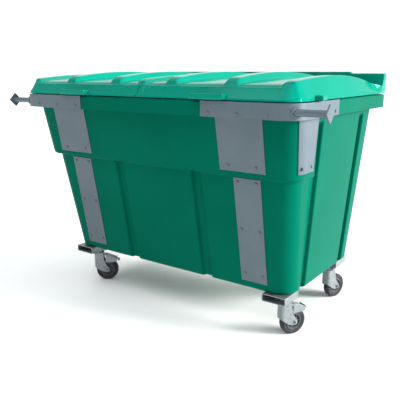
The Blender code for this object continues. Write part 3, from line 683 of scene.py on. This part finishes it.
def make_tub():
    loops = tub_loops()
    count = len(loops[0][0])
    points = [(x, y, z) for loop, z in loops for x, y in loop]
    faces = [tuple(reversed(range(count)))] + strip_faces(count, len(loops))
    mesh = modified(mesh_from(points, faces), solidify(WALL, -1.0), soften(0.0012, 60.0))
    piece("tub_shell", mesh, TUB_PLASTIC, "root", "tub")


# ---------- steel plates
def offset_line(points, offset):
    """Moves a level polyline outwards by offset, square to its own direction."""
    shifted = []
    for i, (x, y) in enumerate(points):
        ahead = points[min(i + 1, len(points) - 1)]
        behind = points[max(i - 1, 0)]
        way = Vector((ahead[0] - behind[0], ahead[1] - behind[1])).normalized()
        shifted.append((x + way.y * offset, y - way.x * offset))
    return shifted


def make_plate(name, side, sign, low_line, high_line, low_z, high_z, places):
    """A bent steel plate between two level polylines, with its rivets as a second piece."""
    points = []
    for line, z in ((low_line, low_z), (high_line, high_z)):
        points += [(x, y, z) for x, y in offset_line(line, GAP)]
    sheet = mesh_from(points, strip_faces(len(low_line), 2, False))
    mesh = flipped(modified(sheet, solidify(PLATE, 1.0), soften(0.0008)), sign)
    piece(f"{name}_cover_{side}", mesh, PAINT, "root", f"{name}_{side}")
    heads = flipped(rivets(places), sign)
    piece(f"{name}_rivets_{side}", heads, PAINT, "root")


def make_rim_plate(side, sign):
    reach = RIM_HALF_LENGTH - RIM_RADIUS
    line = [(RIM_PLATE_START, -RIM_HALF_DEPTH)]
    line += arc((reach, -RIM_HALF_DEPTH + RIM_RADIUS), RIM_RADIUS, -90.0, 0.0, 16)
    line.append((RIM_HALF_LENGTH, RIM_PLATE_END))
    front, end = -RIM_HALF_DEPTH - PLATE_FACE, RIM_HALF_LENGTH + PLATE_FACE
    places = [((x, front, 1.032), (0, -1, 0)) for x in (0.387, 0.521, 0.654)]
    places += [((end, y, 1.034), (1, 0, 0)) for y in (-0.300, -0.150)]
    make_plate("rim_plate", side, sign, line, line, RIM_BOTTOM + GAP, RIM_TOP - GAP, places)


def make_front_plate(name, side, sign, span, heights, upper, rivet_x, rivet_z):
    lines = [[(x, tier(z, upper)[1]) for x in span] for z in heights]
    rise = tier(1.0, upper)[1] - tier(0.0, upper)[1]
    spots = [(x, tier(z, upper)[1] - PLATE_FACE, z) for x in rivet_x for z in rivet_z]
    make_plate(name, side, sign, *lines, *heights, [(spot, (0.0, -1.0, rise)) for spot in spots])


def make_side_plate(side, sign):
    lines = []
    for z in SIDE_PLATE_Z:
        corner_x, front = tier(z, True)
        centre = (corner_x - CORNER_RADIUS, front + CORNER_RADIUS)
        line = arc(centre, CORNER_RADIUS, -math.degrees(SIDE_PLATE_WRAP), 0.0, 6)
        line.append((corner_x, SIDE_PLATE_END))
        lines.append(line)
    rivet_z = 0.817
    face = tier(rivet_z, True)[0] + PLATE_FACE
    places = [((face, y, rivet_z), (1.0, 0.0, -0.07)) for y in (-0.350, -0.268)]
    make_plate("side_plate", side, sign, *lines, *SIDE_PLATE_Z, places)


# ---------- trunnions
def rim_corner_x(y):
    """Outer face of the rim plate's rounded corner at a given y."""
    along_y = y + RIM_HALF_DEPTH - RIM_RADIUS
    out = math.sqrt((RIM_RADIUS + PLATE_FACE) ** 2 - along_y ** 2)
    return RIM_HALF_LENGTH - RIM_RADIUS + out


def weld_bead(place_x, radius, thick):
    """A lumpy bead of weld round the bar; place_x gives its x for a y."""
    turns, sides, ripple = 72, 8, 0.10
    points = []
    for i, (u, v) in enumerate(circle((0.0, 0.0), 1.0, turns)):
        angle = 2 * math.pi * i / turns
        lump = 1.0 + ripple * math.sin(17 * angle) + 0.5 * ripple * math.sin(5 * angle + 1.0)
        x = place_x(TRUNNION_Y + radius * u)
        for out, ahead in circle((radius, 0.0), thick * lump, sides):
            points.append((x + ahead, TRUNNION_Y + out * u, TRUNNION_Z + out * v))
    mesh = mesh_from(points, strip_faces(sides, turns, looped=True))
    return edited(mesh, lambda bm: bmesh.ops.recalc_face_normals(bm, faces=bm.faces))


def make_trunnion(side, sign):
    sides = 40
    ring = circle((TRUNNION_Y, TRUNNION_Z), TRUNNION_RADIUS, sides)
    start = [(rim_corner_x(y) + GAP, y, z) for y, z in ring]
    end = [(TRUNNION_END, y, z) for y, z in ring]
    caps = [tuple(reversed(range(sides))), tuple(range(sides, 2 * sides))]
    bar = mesh_from(start + end, strip_faces(sides, 2) + caps)
    inner = weld_bead(lambda y: rim_corner_x(y) + 0.002, TRUNNION_RADIUS + 0.0015, 0.0055)
    outer = weld_bead(lambda y: TRUNNION_END - 0.001, TRUNNION_RADIUS + 0.0008, 0.0032)
    corners = circle((TRUNNION_Y, TRUNNION_Z), END_PLATE_SIDE / math.sqrt(2.0), 4)
    outline = rounded_path([(u, v, 0.002, 3) for u, v in corners], True)
    near = TRUNNION_END + GAP
    diamond = plate_mesh([outline], near, near + END_PLATE_THICK, "YZ", 0.0008)
    for name, mesh, *nodes in (
            ("rod", bar, f"trunnion_bar_{side}"), ("welds", joined([inner, outer])),
            ("plate", diamond, f"trunnion_end_{side}")):
        mesh = flipped(mesh, sign)
        piece(f"trunnion_{name}_{side}", mesh, PAINT, "root", *nodes)


# ---------- lids
def arch(y, rule):
    """An arch over the lid that falls off differently to the front and the back."""
    peak, front_drop, back_drop = rule
    return peak - (front_drop if y < PEAK_Y else back_drop) * (y - PEAK_Y) ** 2


def lid_height(x, y):
    """Height of the right-hand lid's top: floors, ribs, ridges, front edge and rear flange."""
    base = arch(y, FLOOR_ARCH)
    raised = max(1.0 - smoothstep(*MIDDLE_RIDGE, x), smoothstep(*OUTER_RIDGE, x))
    height = mix(base, arch(y, RIDGE_ARCH), raised)
    for centre in RIB_CENTRES:
        shape = 1.0 - smoothstep(RIB_TOP / 2, RIB_BASE / 2, abs(x - centre))
        height = max(height, mix(base, arch(y, RIB_ARCH), shape * smoothstep(*RIB_NOSE, y)))
    front = LID_FRONT + LID_LEAN
    height = mix(LID_EDGE_Z, height, smoothstep(*FRONT_ROLL, y - front))
    flange = mix(*FLANGE_Z, smoothstep(FLANGE_STEP_X, FLANGE_STEP_X + 0.010, x))
    return mix(height, flange, smoothstep(*FLANGE_Y, y))


def flange_reach(y):
    """How far the lid's outer edge moves out again towards the upright end of the rear flange."""
    return LID_LEAN * smoothstep(0.37, FLANGE_Y[0] - 0.015, y)


def grid_lines(start, end, coarse, fine, zones):
    """Line positions from start to end, close together inside the zones."""
    lines = [start]
    while lines[-1] < end - 1e-6:
        here = lines[-1]
        dense = any(low <= here + 1e-6 < high for low, high in zones)
        ahead = [low for low, high in zones if low > here + 1e-6]
        lines.append(min([here + (fine if dense else coarse), end] + ahead))
    return lines


def round_corner(x, y, reach, front, radius):
    """Bends the square front outer corner of the grid into a quarter circle."""
    centre_x = reach - radius
    centre_y = front + radius
    u = (x - centre_x) / radius
    v = (centre_y - y) / radius
    if u <= 0.0 or v <= 0.0:
        return x, y
    size = max(u, v)
    angle = (v / u) * math.pi / 4 if u >= v else math.pi / 2 - (u / v) * math.pi / 4
    return centre_x + radius * size * math.cos(angle), centre_y - radius * size * math.sin(angle)


def lid_skirt(edge, reach, front, radius):
    """Loops from a point of the top's edge over a rounded shoulder and down to the lid's lip."""
    x, y, z = edge
    out = Vector((0.0, 0.0))
    lean = LID_LEAN
    centre = Vector((reach - radius, front + radius))
    if x > centre.x and y < centre.y:
        out = (Vector((x, y)) - centre).normalized()
    elif y < front + 1e-6:
        out.y = -1.0
    elif x > reach - 1e-6:
        out.x = 1.0
        lean -= flange_reach(y)
    side = Vector((-SEAM_SHOULDER if x < LID_SEAM + SEAM_SHOULDER + 1e-6 else 0.0, 0.0))
    behind = Vector((0.0, SEAM_SHOULDER if y > LID_BACK - SEAM_SHOULDER - 1e-6 else 0.0))
    drop = SHOULDER if out.length else SEAM_SHOULDER
    points = []
    for up, away in arc((0.0, 0.0), 1.0, 0.0, 90.0, 5)[1:]:
        shift = (out * SHOULDER + side + behind) * away
        points.append((x + shift.x, y + shift.y, z - drop * (1 - up)))
    top = Vector(points[-1])
    for part, slope, lip in SKIRT_STEPS:
        shift = out * (lean * slope + lip)
        points.append((top.x + shift.x, top.y + shift.y, mix(top.z, LID_BOTTOM, part)))
    return points


def lid_shell():
    """Right-hand lid: the ribbed top as a fine grid, with the skirt hung from its edge."""
    reach = LID_HALF_LENGTH - LID_LEAN - SHOULDER
    front = LID_FRONT + LID_LEAN + SHOULDER
    radius = LID_RADIUS - LID_LEAN - SHOULDER
    slopes = [(0.016, 0.040)]  # where the top rises or falls across the lid
    for centre in RIB_CENTRES:
        slopes += [(centre - 0.044, centre - 0.018), (centre + 0.018, centre + 0.044)]
    slopes += [(0.596, 0.614), (0.672, reach)]
    columns = grid_lines(LID_SEAM + SEAM_SHOULDER, reach, 0.014, 0.003, slopes)
    slopes = [(front, -0.440), (0.440, 0.476)]
    rows = grid_lines(front, LID_BACK - SEAM_SHOULDER, 0.020, 0.0025, slopes)
    points = []
    for y in rows:
        for x in columns:
            px, py = round_corner(x, y, reach, front, radius)
            height = lid_height(px, py)
            px += flange_reach(y) * smoothstep(OUTER_RIDGE[1], reach, x)
            points.append((px, py, height))
    width, depth = len(columns), len(rows)
    faces = strip_faces(width, depth, False)
    rim = list(range(width)) + [j * width + width - 1 for j in range(1, depth)]
    rim += [(depth - 1) * width + i for i in range(width - 2, -1, -1)]
    rim += [j * width for j in range(depth - 2, 0, -1)]
    falls = [lid_skirt(points[i], reach, front, radius) for i in rim]
    upper = rim
    for level in range(len(falls[0])):
        lower = list(range(len(points), len(points) + len(rim)))
        points += [fall[level] for fall in falls]
        for i in range(len(rim)):
            k = (i + 1) % len(rim)
            faces.append((upper[i], lower[i], lower[k], upper[k]))
        upper = lower
    return modified(mesh_from(points, faces), solidify(LID_WALL, -1.0), soften(0.0008, 60.0))


def hollow_grip(low, high, bevel):
    """A pull grip with rounded edges and a finger recess in its underside."""
    def hollow(bm):
        under = min(bm.faces, key=lambda face: face.calc_center_median().z)
        bmesh.ops.inset_individual(bm, faces=[under], thickness=0.004)
        for vertex in under.verts:
            vertex.co.z += (high[2] - low[2]) * 0.55
    return edited(block(low, high, bevel, 4), hollow)


def make_lid(side, sign):
    body = f"lid_{side}_body"
    mesh = flipped(lid_shell(), sign)
    piece(f"lid_cover_{side}", mesh, LID_PLASTIC, body, f"lid_{side}")
    for name, (width, depth, height), x, y, bevel in (
            ("front", GRIP_SIZE, GRIP_X, LID_FRONT - GRIP_OUT + GRIP_SIZE[1] / 2, 0.0055),
            ("side", SIDE_GRIP_SIZE, SIDE_GRIP_X, SIDE_GRIP_Y, 0.005)):
        low = (x - width / 2, y - depth / 2, LID_BOTTOM + 0.0005)
        high = (x + width / 2, y + depth / 2, LID_BOTTOM + height)
        grip = flipped(hollow_grip(low, high, bevel), sign)
        piece(f"{name}_grip_{side}", grip, LID_PLASTIC, body)


# ---------- lid hinges
def bracket_outline():
    """Side view of the eye that is fixed to the rim, with its tail hanging down."""
    face, low = RIM_HALF_DEPTH + GAP, RIM_BOTTOM + 0.004
    eye = arc((HINGE_Y, HINGE_Z), EYE_RADIUS, -50.0, 200.0, 24)
    tail = [(face, HINGE_Z - 0.010), (face, low), (face + TAIL_THICK, low)]
    return eye + tail + [(face + TAIL_THICK, HINGE_Z - 0.024)]


def lug_outline():
    """Side view of the eye that is fixed to the lid, with its tail up."""
    face, high = LID_BACK + GAP, 1.150
    eye = arc((HINGE_Y, HINGE_Z), EYE_RADIUS, -150.0, 90.0, 24)
    tail = [(face + TAIL_THICK + 0.004, HINGE_Z + 0.020), (face + TAIL_THICK, high), (face, high)]
    return eye + tail + [(face, HINGE_Z - 0.006)]


def eye_mesh(centre_x, outline):
    half = LUG_WIDTH / 2
    hole = circle((HINGE_Y, HINGE_Z), EYE_HOLE, 24)
    return plate_mesh([outline, hole], centre_x - half, centre_x + half, "YZ", 0.0006)


def make_hinge(side, sign):
    step = (LUG_WIDTH + 0.002) / 2
    lid_body = f"lid_{side}_body"
    for number, place_x in enumerate(HINGE_PLACES, start=1):
        end = f"{side}_{number}"
        fixed_x, lug_x = sign * place_x - step, sign * place_x + step
        eye = eye_mesh(fixed_x, bracket_outline())
        piece(f"hinge_eye_{end}", eye, PAINT, "root", f"hinge_bracket_{end}")
        eye = eye_mesh(lug_x, lug_outline())
        piece(f"lug_cover_{end}", eye, LID_PLASTIC, lid_body, f"lid_lug_{end}")
        back = RIM_HALF_DEPTH + GAP + TAIL_THICK
        places = [((fixed_x + dx, back, 1.040), (0, 1, 0)) for dx in RIVET_PAIR]
        piece(f"hinge_rivets_{end}", rivets(places, 0.005, 0.003), PAINT, "root")
        back = LID_BACK + GAP + TAIL_THICK
        places = [((lug_x + dx, back, 1.140), (0, 1, 0)) for dx in RIVET_PAIR]
        piece(f"lug_rivets_{end}", rivets(places, 0.004, 0.0025), ZINC, lid_body)
    low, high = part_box(f"hinge_rod_{side}")
    half, collar = (high.x - low.x) / 2, ROD_RADIUS + 0.003
    profile = [(0.0, -half), (ROD_RADIUS - 0.001, -half), (ROD_RADIUS, -half + 0.001)]
    for z in (-half + 0.006, half - 0.006):
        profile += [(ROD_RADIUS, z - 0.001), (collar, z - 0.001)]
        profile += [(collar, z + 0.001), (ROD_RADIUS, z + 0.001)]
    profile += [(ROD_RADIUS, half - 0.001), (ROD_RADIUS - 0.001, half), (0.0, half)]
    rod = moved(turned(profile, 24), Matrix.Translation((low + high) / 2), along((1, 0, 0)))
    piece(f"hinge_pin_{side}", rod, ZINC, "root", f"hinge_rod_{side}")


# ---------- casters
def bracket_mesh():
    """A box section open at its front and back, with rounded corners."""
    width, length, height = BRACKET
    outlines = []
    for inset, cut, steps in ((0.0, 0.005, 4), (BRACKET_WALL, 0.002, 2)):
        half, top = width / 2 - inset, TUB_BOTTOM - GAP - inset
        low = TUB_BOTTOM - GAP - height + inset
        corners = [(-half, low), (half, low), (half, top), (-half, top)]
        outlines.append(rounded_path([(u, v, cut, steps) for u, v in corners], True))
    return plate_mesh(outlines, -length / 2, length / 2, "XZ", 0.0008)


def plate_outline():
    u, v = TOP_PLATE[0] / 2, TOP_PLATE[1] / 2
    corners = [(-u, -v), (u, -v), (u, v), (-u, v)]
    return rounded_path([(x, y, 0.010, 5) for x, y in corners], True)


def race_mesh(plate_low):
    """The pressed swivel head: an upper dish, the ball race and the king pin's nut."""
    race_top = plate_low - GAP
    crown = CROWN_TOP + 2 * GAP
    under = CROWN_TOP - CROWN_THICK - 2 * GAP
    pin = KING_HOLE - 0.0008
    profile = [(0.0, under - 0.0090), (0.0060, under - 0.0090), (0.0112, under - 0.0080)]
    profile += [(0.0115, under - 0.0010), (pin, under), (pin, crown), (0.0320, crown)]
    profile += [(0.0345, crown + 0.0020), (0.0345, crown + 0.0035), (0.0370, crown + 0.0045)]
    profile += [(0.0392, crown + 0.0075), (0.0392, race_top - 0.0030), (0.0375, race_top - 0.0010)]
    profile += [(0.0355, race_top), (0.0, race_top)]
    return turned(profile, 48)


def leg_outline():
    """Side view of the fork; the wheel trails towards +X."""
    low = CROWN_TOP - CROWN_THICK + 0.001
    front = FORK_FRONT - 0.001
    return rounded_path([
        (front, low, 0.0, 0), (front, 0.084, 0.005, 3), (0.022, 0.0552, 0.008, 3),
        (0.0520, 0.0490, 0.0070, 5), (0.0675, 0.0520, 0.0070, 5), (0.0680, 0.0690, 0.0070, 4),
        (0.0420, 0.104, 0.020, 6), (0.0350, 0.146, 0.010, 4), (0.0340, low, 0.0, 0)], True)


def channel_outline():
    """Plan view of the bent sheet: the web ahead of the wheel and a leg down each side of it."""
    end = TRAIL + 0.030
    centre_x, centre_y = FORK_FRONT + FORK_BEND, LEG_INNER + LEG_THICK - FORK_BEND
    rows = []
    for radius in (FORK_BEND, FORK_BEND - LEG_THICK):
        row = [(end, centre_y + radius)]
        row += arc((centre_x, centre_y), radius, 90.0, 180.0, 12)
        row += arc((centre_x, -centre_y), radius, 180.0, 270.0, 12)
        row.append((end, -centre_y - radius))
        rows.append(row)
    return rows[0] + rows[1][::-1]


def fork_mesh():
    """Pressed fork: a dished crown round the king pin and a bent channel that holds the axle."""
    low = CROWN_TOP - CROWN_THICK
    reach = 2 * LEG_INNER
    channel = plate_mesh([channel_outline()], 0.040, low + 0.001, "XY")
    channel = combined("INTERSECT", channel, plate_mesh([leg_outline()], -reach, reach, "XZ"))
    hole = plate_mesh([circle((TRAIL, AXLE_Z), AXLE_RADIUS + 0.0004, 24)], -reach, reach, "XZ")
    channel = modified(combined("DIFFERENCE", channel, hole), soften(0.0006, 60.0))
    edge, top = CROWN_RADIUS, CROWN_TOP
    profile = [(KING_HOLE, low), (edge - 0.0100, low), (edge - 0.0060, low + 0.0006)]
    profile += [(edge - 0.0008, top - 0.0042), (edge, top - 0.0030), (edge, top - 0.0008)]
    profile += [(edge - 0.0008, top), (KING_HOLE, top)]
    return combined("UNION", turned(profile, 48), channel)


def axle_mesh():
    """Axle bolt with a hexagon head, a washer each side and a lock nut."""
    out = LEG_INNER + LEG_THICK + 0.0004
    shank = turned([(0.0, -out), (AXLE_RADIUS, -out), (AXLE_RADIUS, out), (0.0, out)], 24)
    head = moved(hexagon(0.0150, 0.0050), Matrix.Translation((0, 0, out)))
    nut = moved(hexagon(0.0150, 0.0045, 0.0045), Matrix.Translation((0, 0, -out)), UPSIDE_DOWN)
    return joined([shank, head, nut])


def both_faces(profile):
    """A ring's profile of (radius, z), from the upper half of it."""
    return [(radius, -z) for radius, z in profile] + profile[::-1]


def tyre_mesh():
    """Solid rubber tyre: slightly crowned tread, rounded shoulders and a moulded sidewall ring."""
    half, radius = TYRE_HALF_WIDTH, WHEEL_RADIUS
    ring = half - 0.0009
    side = [(TYRE_BORE, half - 0.001), (TYRE_BORE + 0.001, half), (radius - 0.0175, half)]
    side += [(radius - 0.0165, ring), (radius - 0.015, ring), (radius - 0.014, half)]
    shoulder = arc((radius - 0.0085, half - 0.0078), 0.0078, 90.0, 12.0, 6)
    tread = [(radius - 0.0002, 0.0068), (radius, 0.003), (radius, 0.0009)]
    return turned(both_faces(side + shoulder + tread + [(radius + 0.0003, 0.0004)]), 96)


def hub_mesh():
    """Nylon wheel centre: rim, dished web with ribs, and a boss round the bearing."""
    bore = AXLE_RADIUS + 0.0004
    boss = LEG_INNER - 0.0010
    face = [(bore, boss - 0.0010), (bore + 0.0010, boss), (0.0125, boss), (0.0135, boss - 0.0010)]
    face += [(0.0150, 0.0085), (0.0300, 0.0070), (0.0330, 0.0150), (0.0342, 0.0160)]
    face += [(HUB_RADIUS - 0.0005, 0.0160), (HUB_RADIUS, 0.0155)]
    wheel = turned(both_faces(face), 64)
    ribs = []
    for i in range(6):
        rib = block((0.0130, -0.0016, -0.0135), (0.0335, 0.0016, 0.0135), 0.0006, 1)
        ribs.append(moved(rib, Matrix.Rotation(math.pi / 3 * i, 4, "Z")))
    return combined("UNION", wheel, joined(ribs))


def pedal_parts():
    """Brake lever: bent blade, a cheek beside each face of the tyre, cross shaft and round tip."""
    px, pz = PEDAL_PIVOT
    tip_x, tip_z = PEDAL_TIP
    half, thick = PEDAL_HALF_WIDTH, 0.0025
    line = [(px - 0.008, 0.1550), (0.048, 0.1550), (0.090, 0.1400), (0.112, 0.1300)]
    upper = [(x, z, 0.008, 5) for x, z in line]
    lower = [(x, z - thick, 0.007, 5) for x, z in reversed(line)]
    blade = plate_mesh([rounded_path(upper + lower)], -half, half, "XZ", 0.0007)
    back = [(0.046, 0.1546, 0.0008, 2), (0.048, 0.1546, 0.0007, 2)]
    back += [(x, z - 0.0004, 0.007, 4) for x, z in line[2:]]
    cheek = rounded_path(back + [(0.110, 0.1080, 0.006, 4), (0.046, 0.1040, 0.006, 4)], True)
    parts = []
    for sign in (1.0, -1.0):
        faces = sorted((sign * (half - CHEEK_THICK), sign * half))
        parts.append(plate_mesh([cheek], *faces, "XZ", 0.0005))
    neck = [(0.106, 0.1318), (0.106, 0.1290), (tip_x - 0.002, tip_z), (tip_x + 0.002, 0.1220)]
    parts.append(plate_mesh([neck], -0.008, 0.008, "XZ", 0.0005))
    shaft = moved(chamfered(0.0045, LEG_INNER - 2 * GAP, 0.0005, 24), at_y(px, pz))
    tip = moved(chamfered(0.0075, 0.0095, 0.0015, 32), at_y(tip_x, tip_z))
    return combined("UNION", blade, *parts, shaft), tip


def make_casters():
    plate_top = TUB_BOTTOM - BRACKET[2] - 2 * GAP
    plate_low = plate_top - TOP_PLATE[2]
    bolt_spots = [(sx * 0.0385, sy * 0.0305) for sx in (1, -1) for sy in (1, -1)]
    holes = [circle(spot, 0.0055, 16) for spot in bolt_spots]
    bracket, race, fork = bracket_mesh(), race_mesh(plate_low), fork_mesh()
    plate = plate_mesh([plate_outline()] + holes, plate_low, plate_top, "XY", 0.0006)
    inside = plate_top + GAP + BRACKET_WALL
    head, nut = hexagon(0.0165, 0.0064), moved(hexagon(0.0165, 0.0064, 0.005), UPSIDE_DOWN)
    heads = joined([moved(head, Matrix.Translation((x, y, inside))) for x, y in bolt_spots])
    nuts = joined([moved(nut, Matrix.Translation((x, y, plate_low))) for x, y in bolt_spots])
    axle, tyre, hub = axle_mesh(), tyre_mesh(), hub_mesh()
    blade, tip = pedal_parts()
    across = at_y(TRAIL, AXLE_Z)
    for where, sign, row, heading in CASTERS:
        centre = Matrix.Translation((sign * CASTER_X, CASTER_Y[row], 0.0))
        swivel = centre @ Matrix.Rotation(math.radians(heading), 4, "Z")
        shifted = centre @ Matrix.Translation((0.0, row * BRACKET_SHIFT, 0.0))
        wheel = swivel @ across
        pieces = [
            ("box_bracket", bracket, shifted, ZINC, "root", "caster_bracket_{}"),
            ("top_plate", plate, centre, ZINC, "root", "caster_plate_{}"),
            ("plate_bolts", heads, centre, ZINC, "root"),
            ("plate_nuts", nuts, centre, ZINC, "root"),
            ("ball_race", race, centre, ZINC, "root", "swivel_race_{}"),
            ("pressed_fork", fork, swivel, ZINC, "fork_{}_body", "fork_{}"),
            ("axle_bolt", axle, wheel, ZINC, "fork_{}_body", "axle_{}"),
            ("wheel_centre", hub, wheel, NYLON, "wheel_{}_body", "hub_{}"),
            ("rubber_tyre", tyre, wheel, RUBBER, "wheel_{}_body", "tyre_{}")]
        if row < 0:  # only the front casters have a brake
            pieces += [
                ("pedal_blade", blade, swivel, ZINC, "pedal_{}_body",
                 "brake_pedal_{}", "pedal_cheek_{}_1", "pedal_cheek_{}_2"),
                ("pedal_tip", tip, swivel, ZINC, "pedal_{}_body")]
        for name, mesh, place, look, body, *nodes in pieces:
            nodes = [node.format(where) for node in nodes]
            piece(f"{name}_{where}", moved(mesh, place), look, body.format(where), *nodes)


# ---------- studio
BACKDROP_DIRECTION = (-0.58, 0.81, 0.0)
BACKDROP_RANGE = {"From Min": 0.60, "From Max": 0.95, "To Min": 0.50, "To Max": 1.10}
FLOOR_HALF = 60.0


def wide_light(name, source, spread, strength, colour):
    """A very large, distant soft light that shines from the direction of a point."""
    data = bpy.data.lights.new(name, "SUN")
    data.angle = math.radians(spread)
    data.energy = strength
    data.color = colour
    light = bpy.data.objects.new(name, data)
    light.location = source
    light.rotation_euler = Vector(source).to_track_quat("Z", "Y").to_euler()
    SCENE.collection.objects.link(light)


def make_studio():
    """Pale floor, a surround that is white behind the object, a key light and a top light."""
    half = FLOOR_HALF
    corners = [(-half, -half, 0.0), (half, -half, 0.0), (half, half, 0.0), (-half, half, 0.0)]
    floor = bpy.data.objects.new("floor", mesh_from(corners, [(0, 1, 2, 3)]))
    floor.data.materials.append(FLOOR)
    SCENE.collection.objects.link(floor)
    world = bpy.data.worlds.new("studio")
    SCENE.world = world
    world.use_nodes = True
    tree = world.node_tree
    background = tree.nodes["Background"]
    place = add_node(tree, "ShaderNodeTexCoord")
    facing = add_node(tree, "ShaderNodeVectorMath", operation="DOT_PRODUCT")
    facing.inputs[1].default_value = BACKDROP_DIRECTION
    tree.links.new(place.outputs["Generated"], facing.inputs[0])
    spread = add_node(tree, "ShaderNodeMapRange", interpolation_type="SMOOTHSTEP")
    for socket, value in BACKDROP_RANGE.items():
        spread.inputs[socket].default_value = value
    tree.links.new(facing.outputs["Value"], spread.inputs["Value"])
    background.inputs["Color"].default_value = (0.97, 0.985, 1.0, 1.0)
    tree.links.new(spread.outputs["Result"], background.inputs["Strength"])
    wide_light("key", (4.4, 1.9, 1.55), 26.0, 8.8, (1.0, 0.99, 0.97))
    wide_light("top", (-0.4, -1.6, 5.0), 60.0, 2.2, (0.97, 0.99, 1.0))


def make_camera():
    """The viewpoint of the product photograph, a little above the lid's height."""
    data = bpy.data.cameras.new("camera")
    data.sensor_width = 36.0
    data.lens = 47.68
    camera = bpy.data.objects.new("camera", data)
    camera.location = (1.6313, -2.2716, 1.1965)
    pitch, yaw = math.radians(-13.89), math.radians(35.49)
    camera.rotation_euler = (math.pi / 2 + pitch, math.radians(0.09), yaw)
    SCENE.collection.objects.link(camera)
    SCENE.camera = camera
    SCENE.view_settings.view_transform = "Standard"


# ---------- assembly
make_tub()
for side_name, direction in SIDES:
    make_rim_plate(side_name, direction)
    make_front_plate(
        "upper_plate", side_name, direction, UPPER_PLATE_X, UPPER_PLATE_Z, True,
        (0.430, 0.565), (0.812,))
    make_front_plate(
        "lower_plate", side_name, direction, LOWER_PLATE_X, LOWER_PLATE_Z, False,
        (0.455, 0.545), (0.737, 0.520, 0.303))
    make_side_plate(side_name, direction)
    make_trunnion(side_name, direction)
    make_lid(side_name, direction)
    make_hinge(side_name, direction)
make_casters()
make_studio()
make_camera()

bpy.context.view_layer.update()
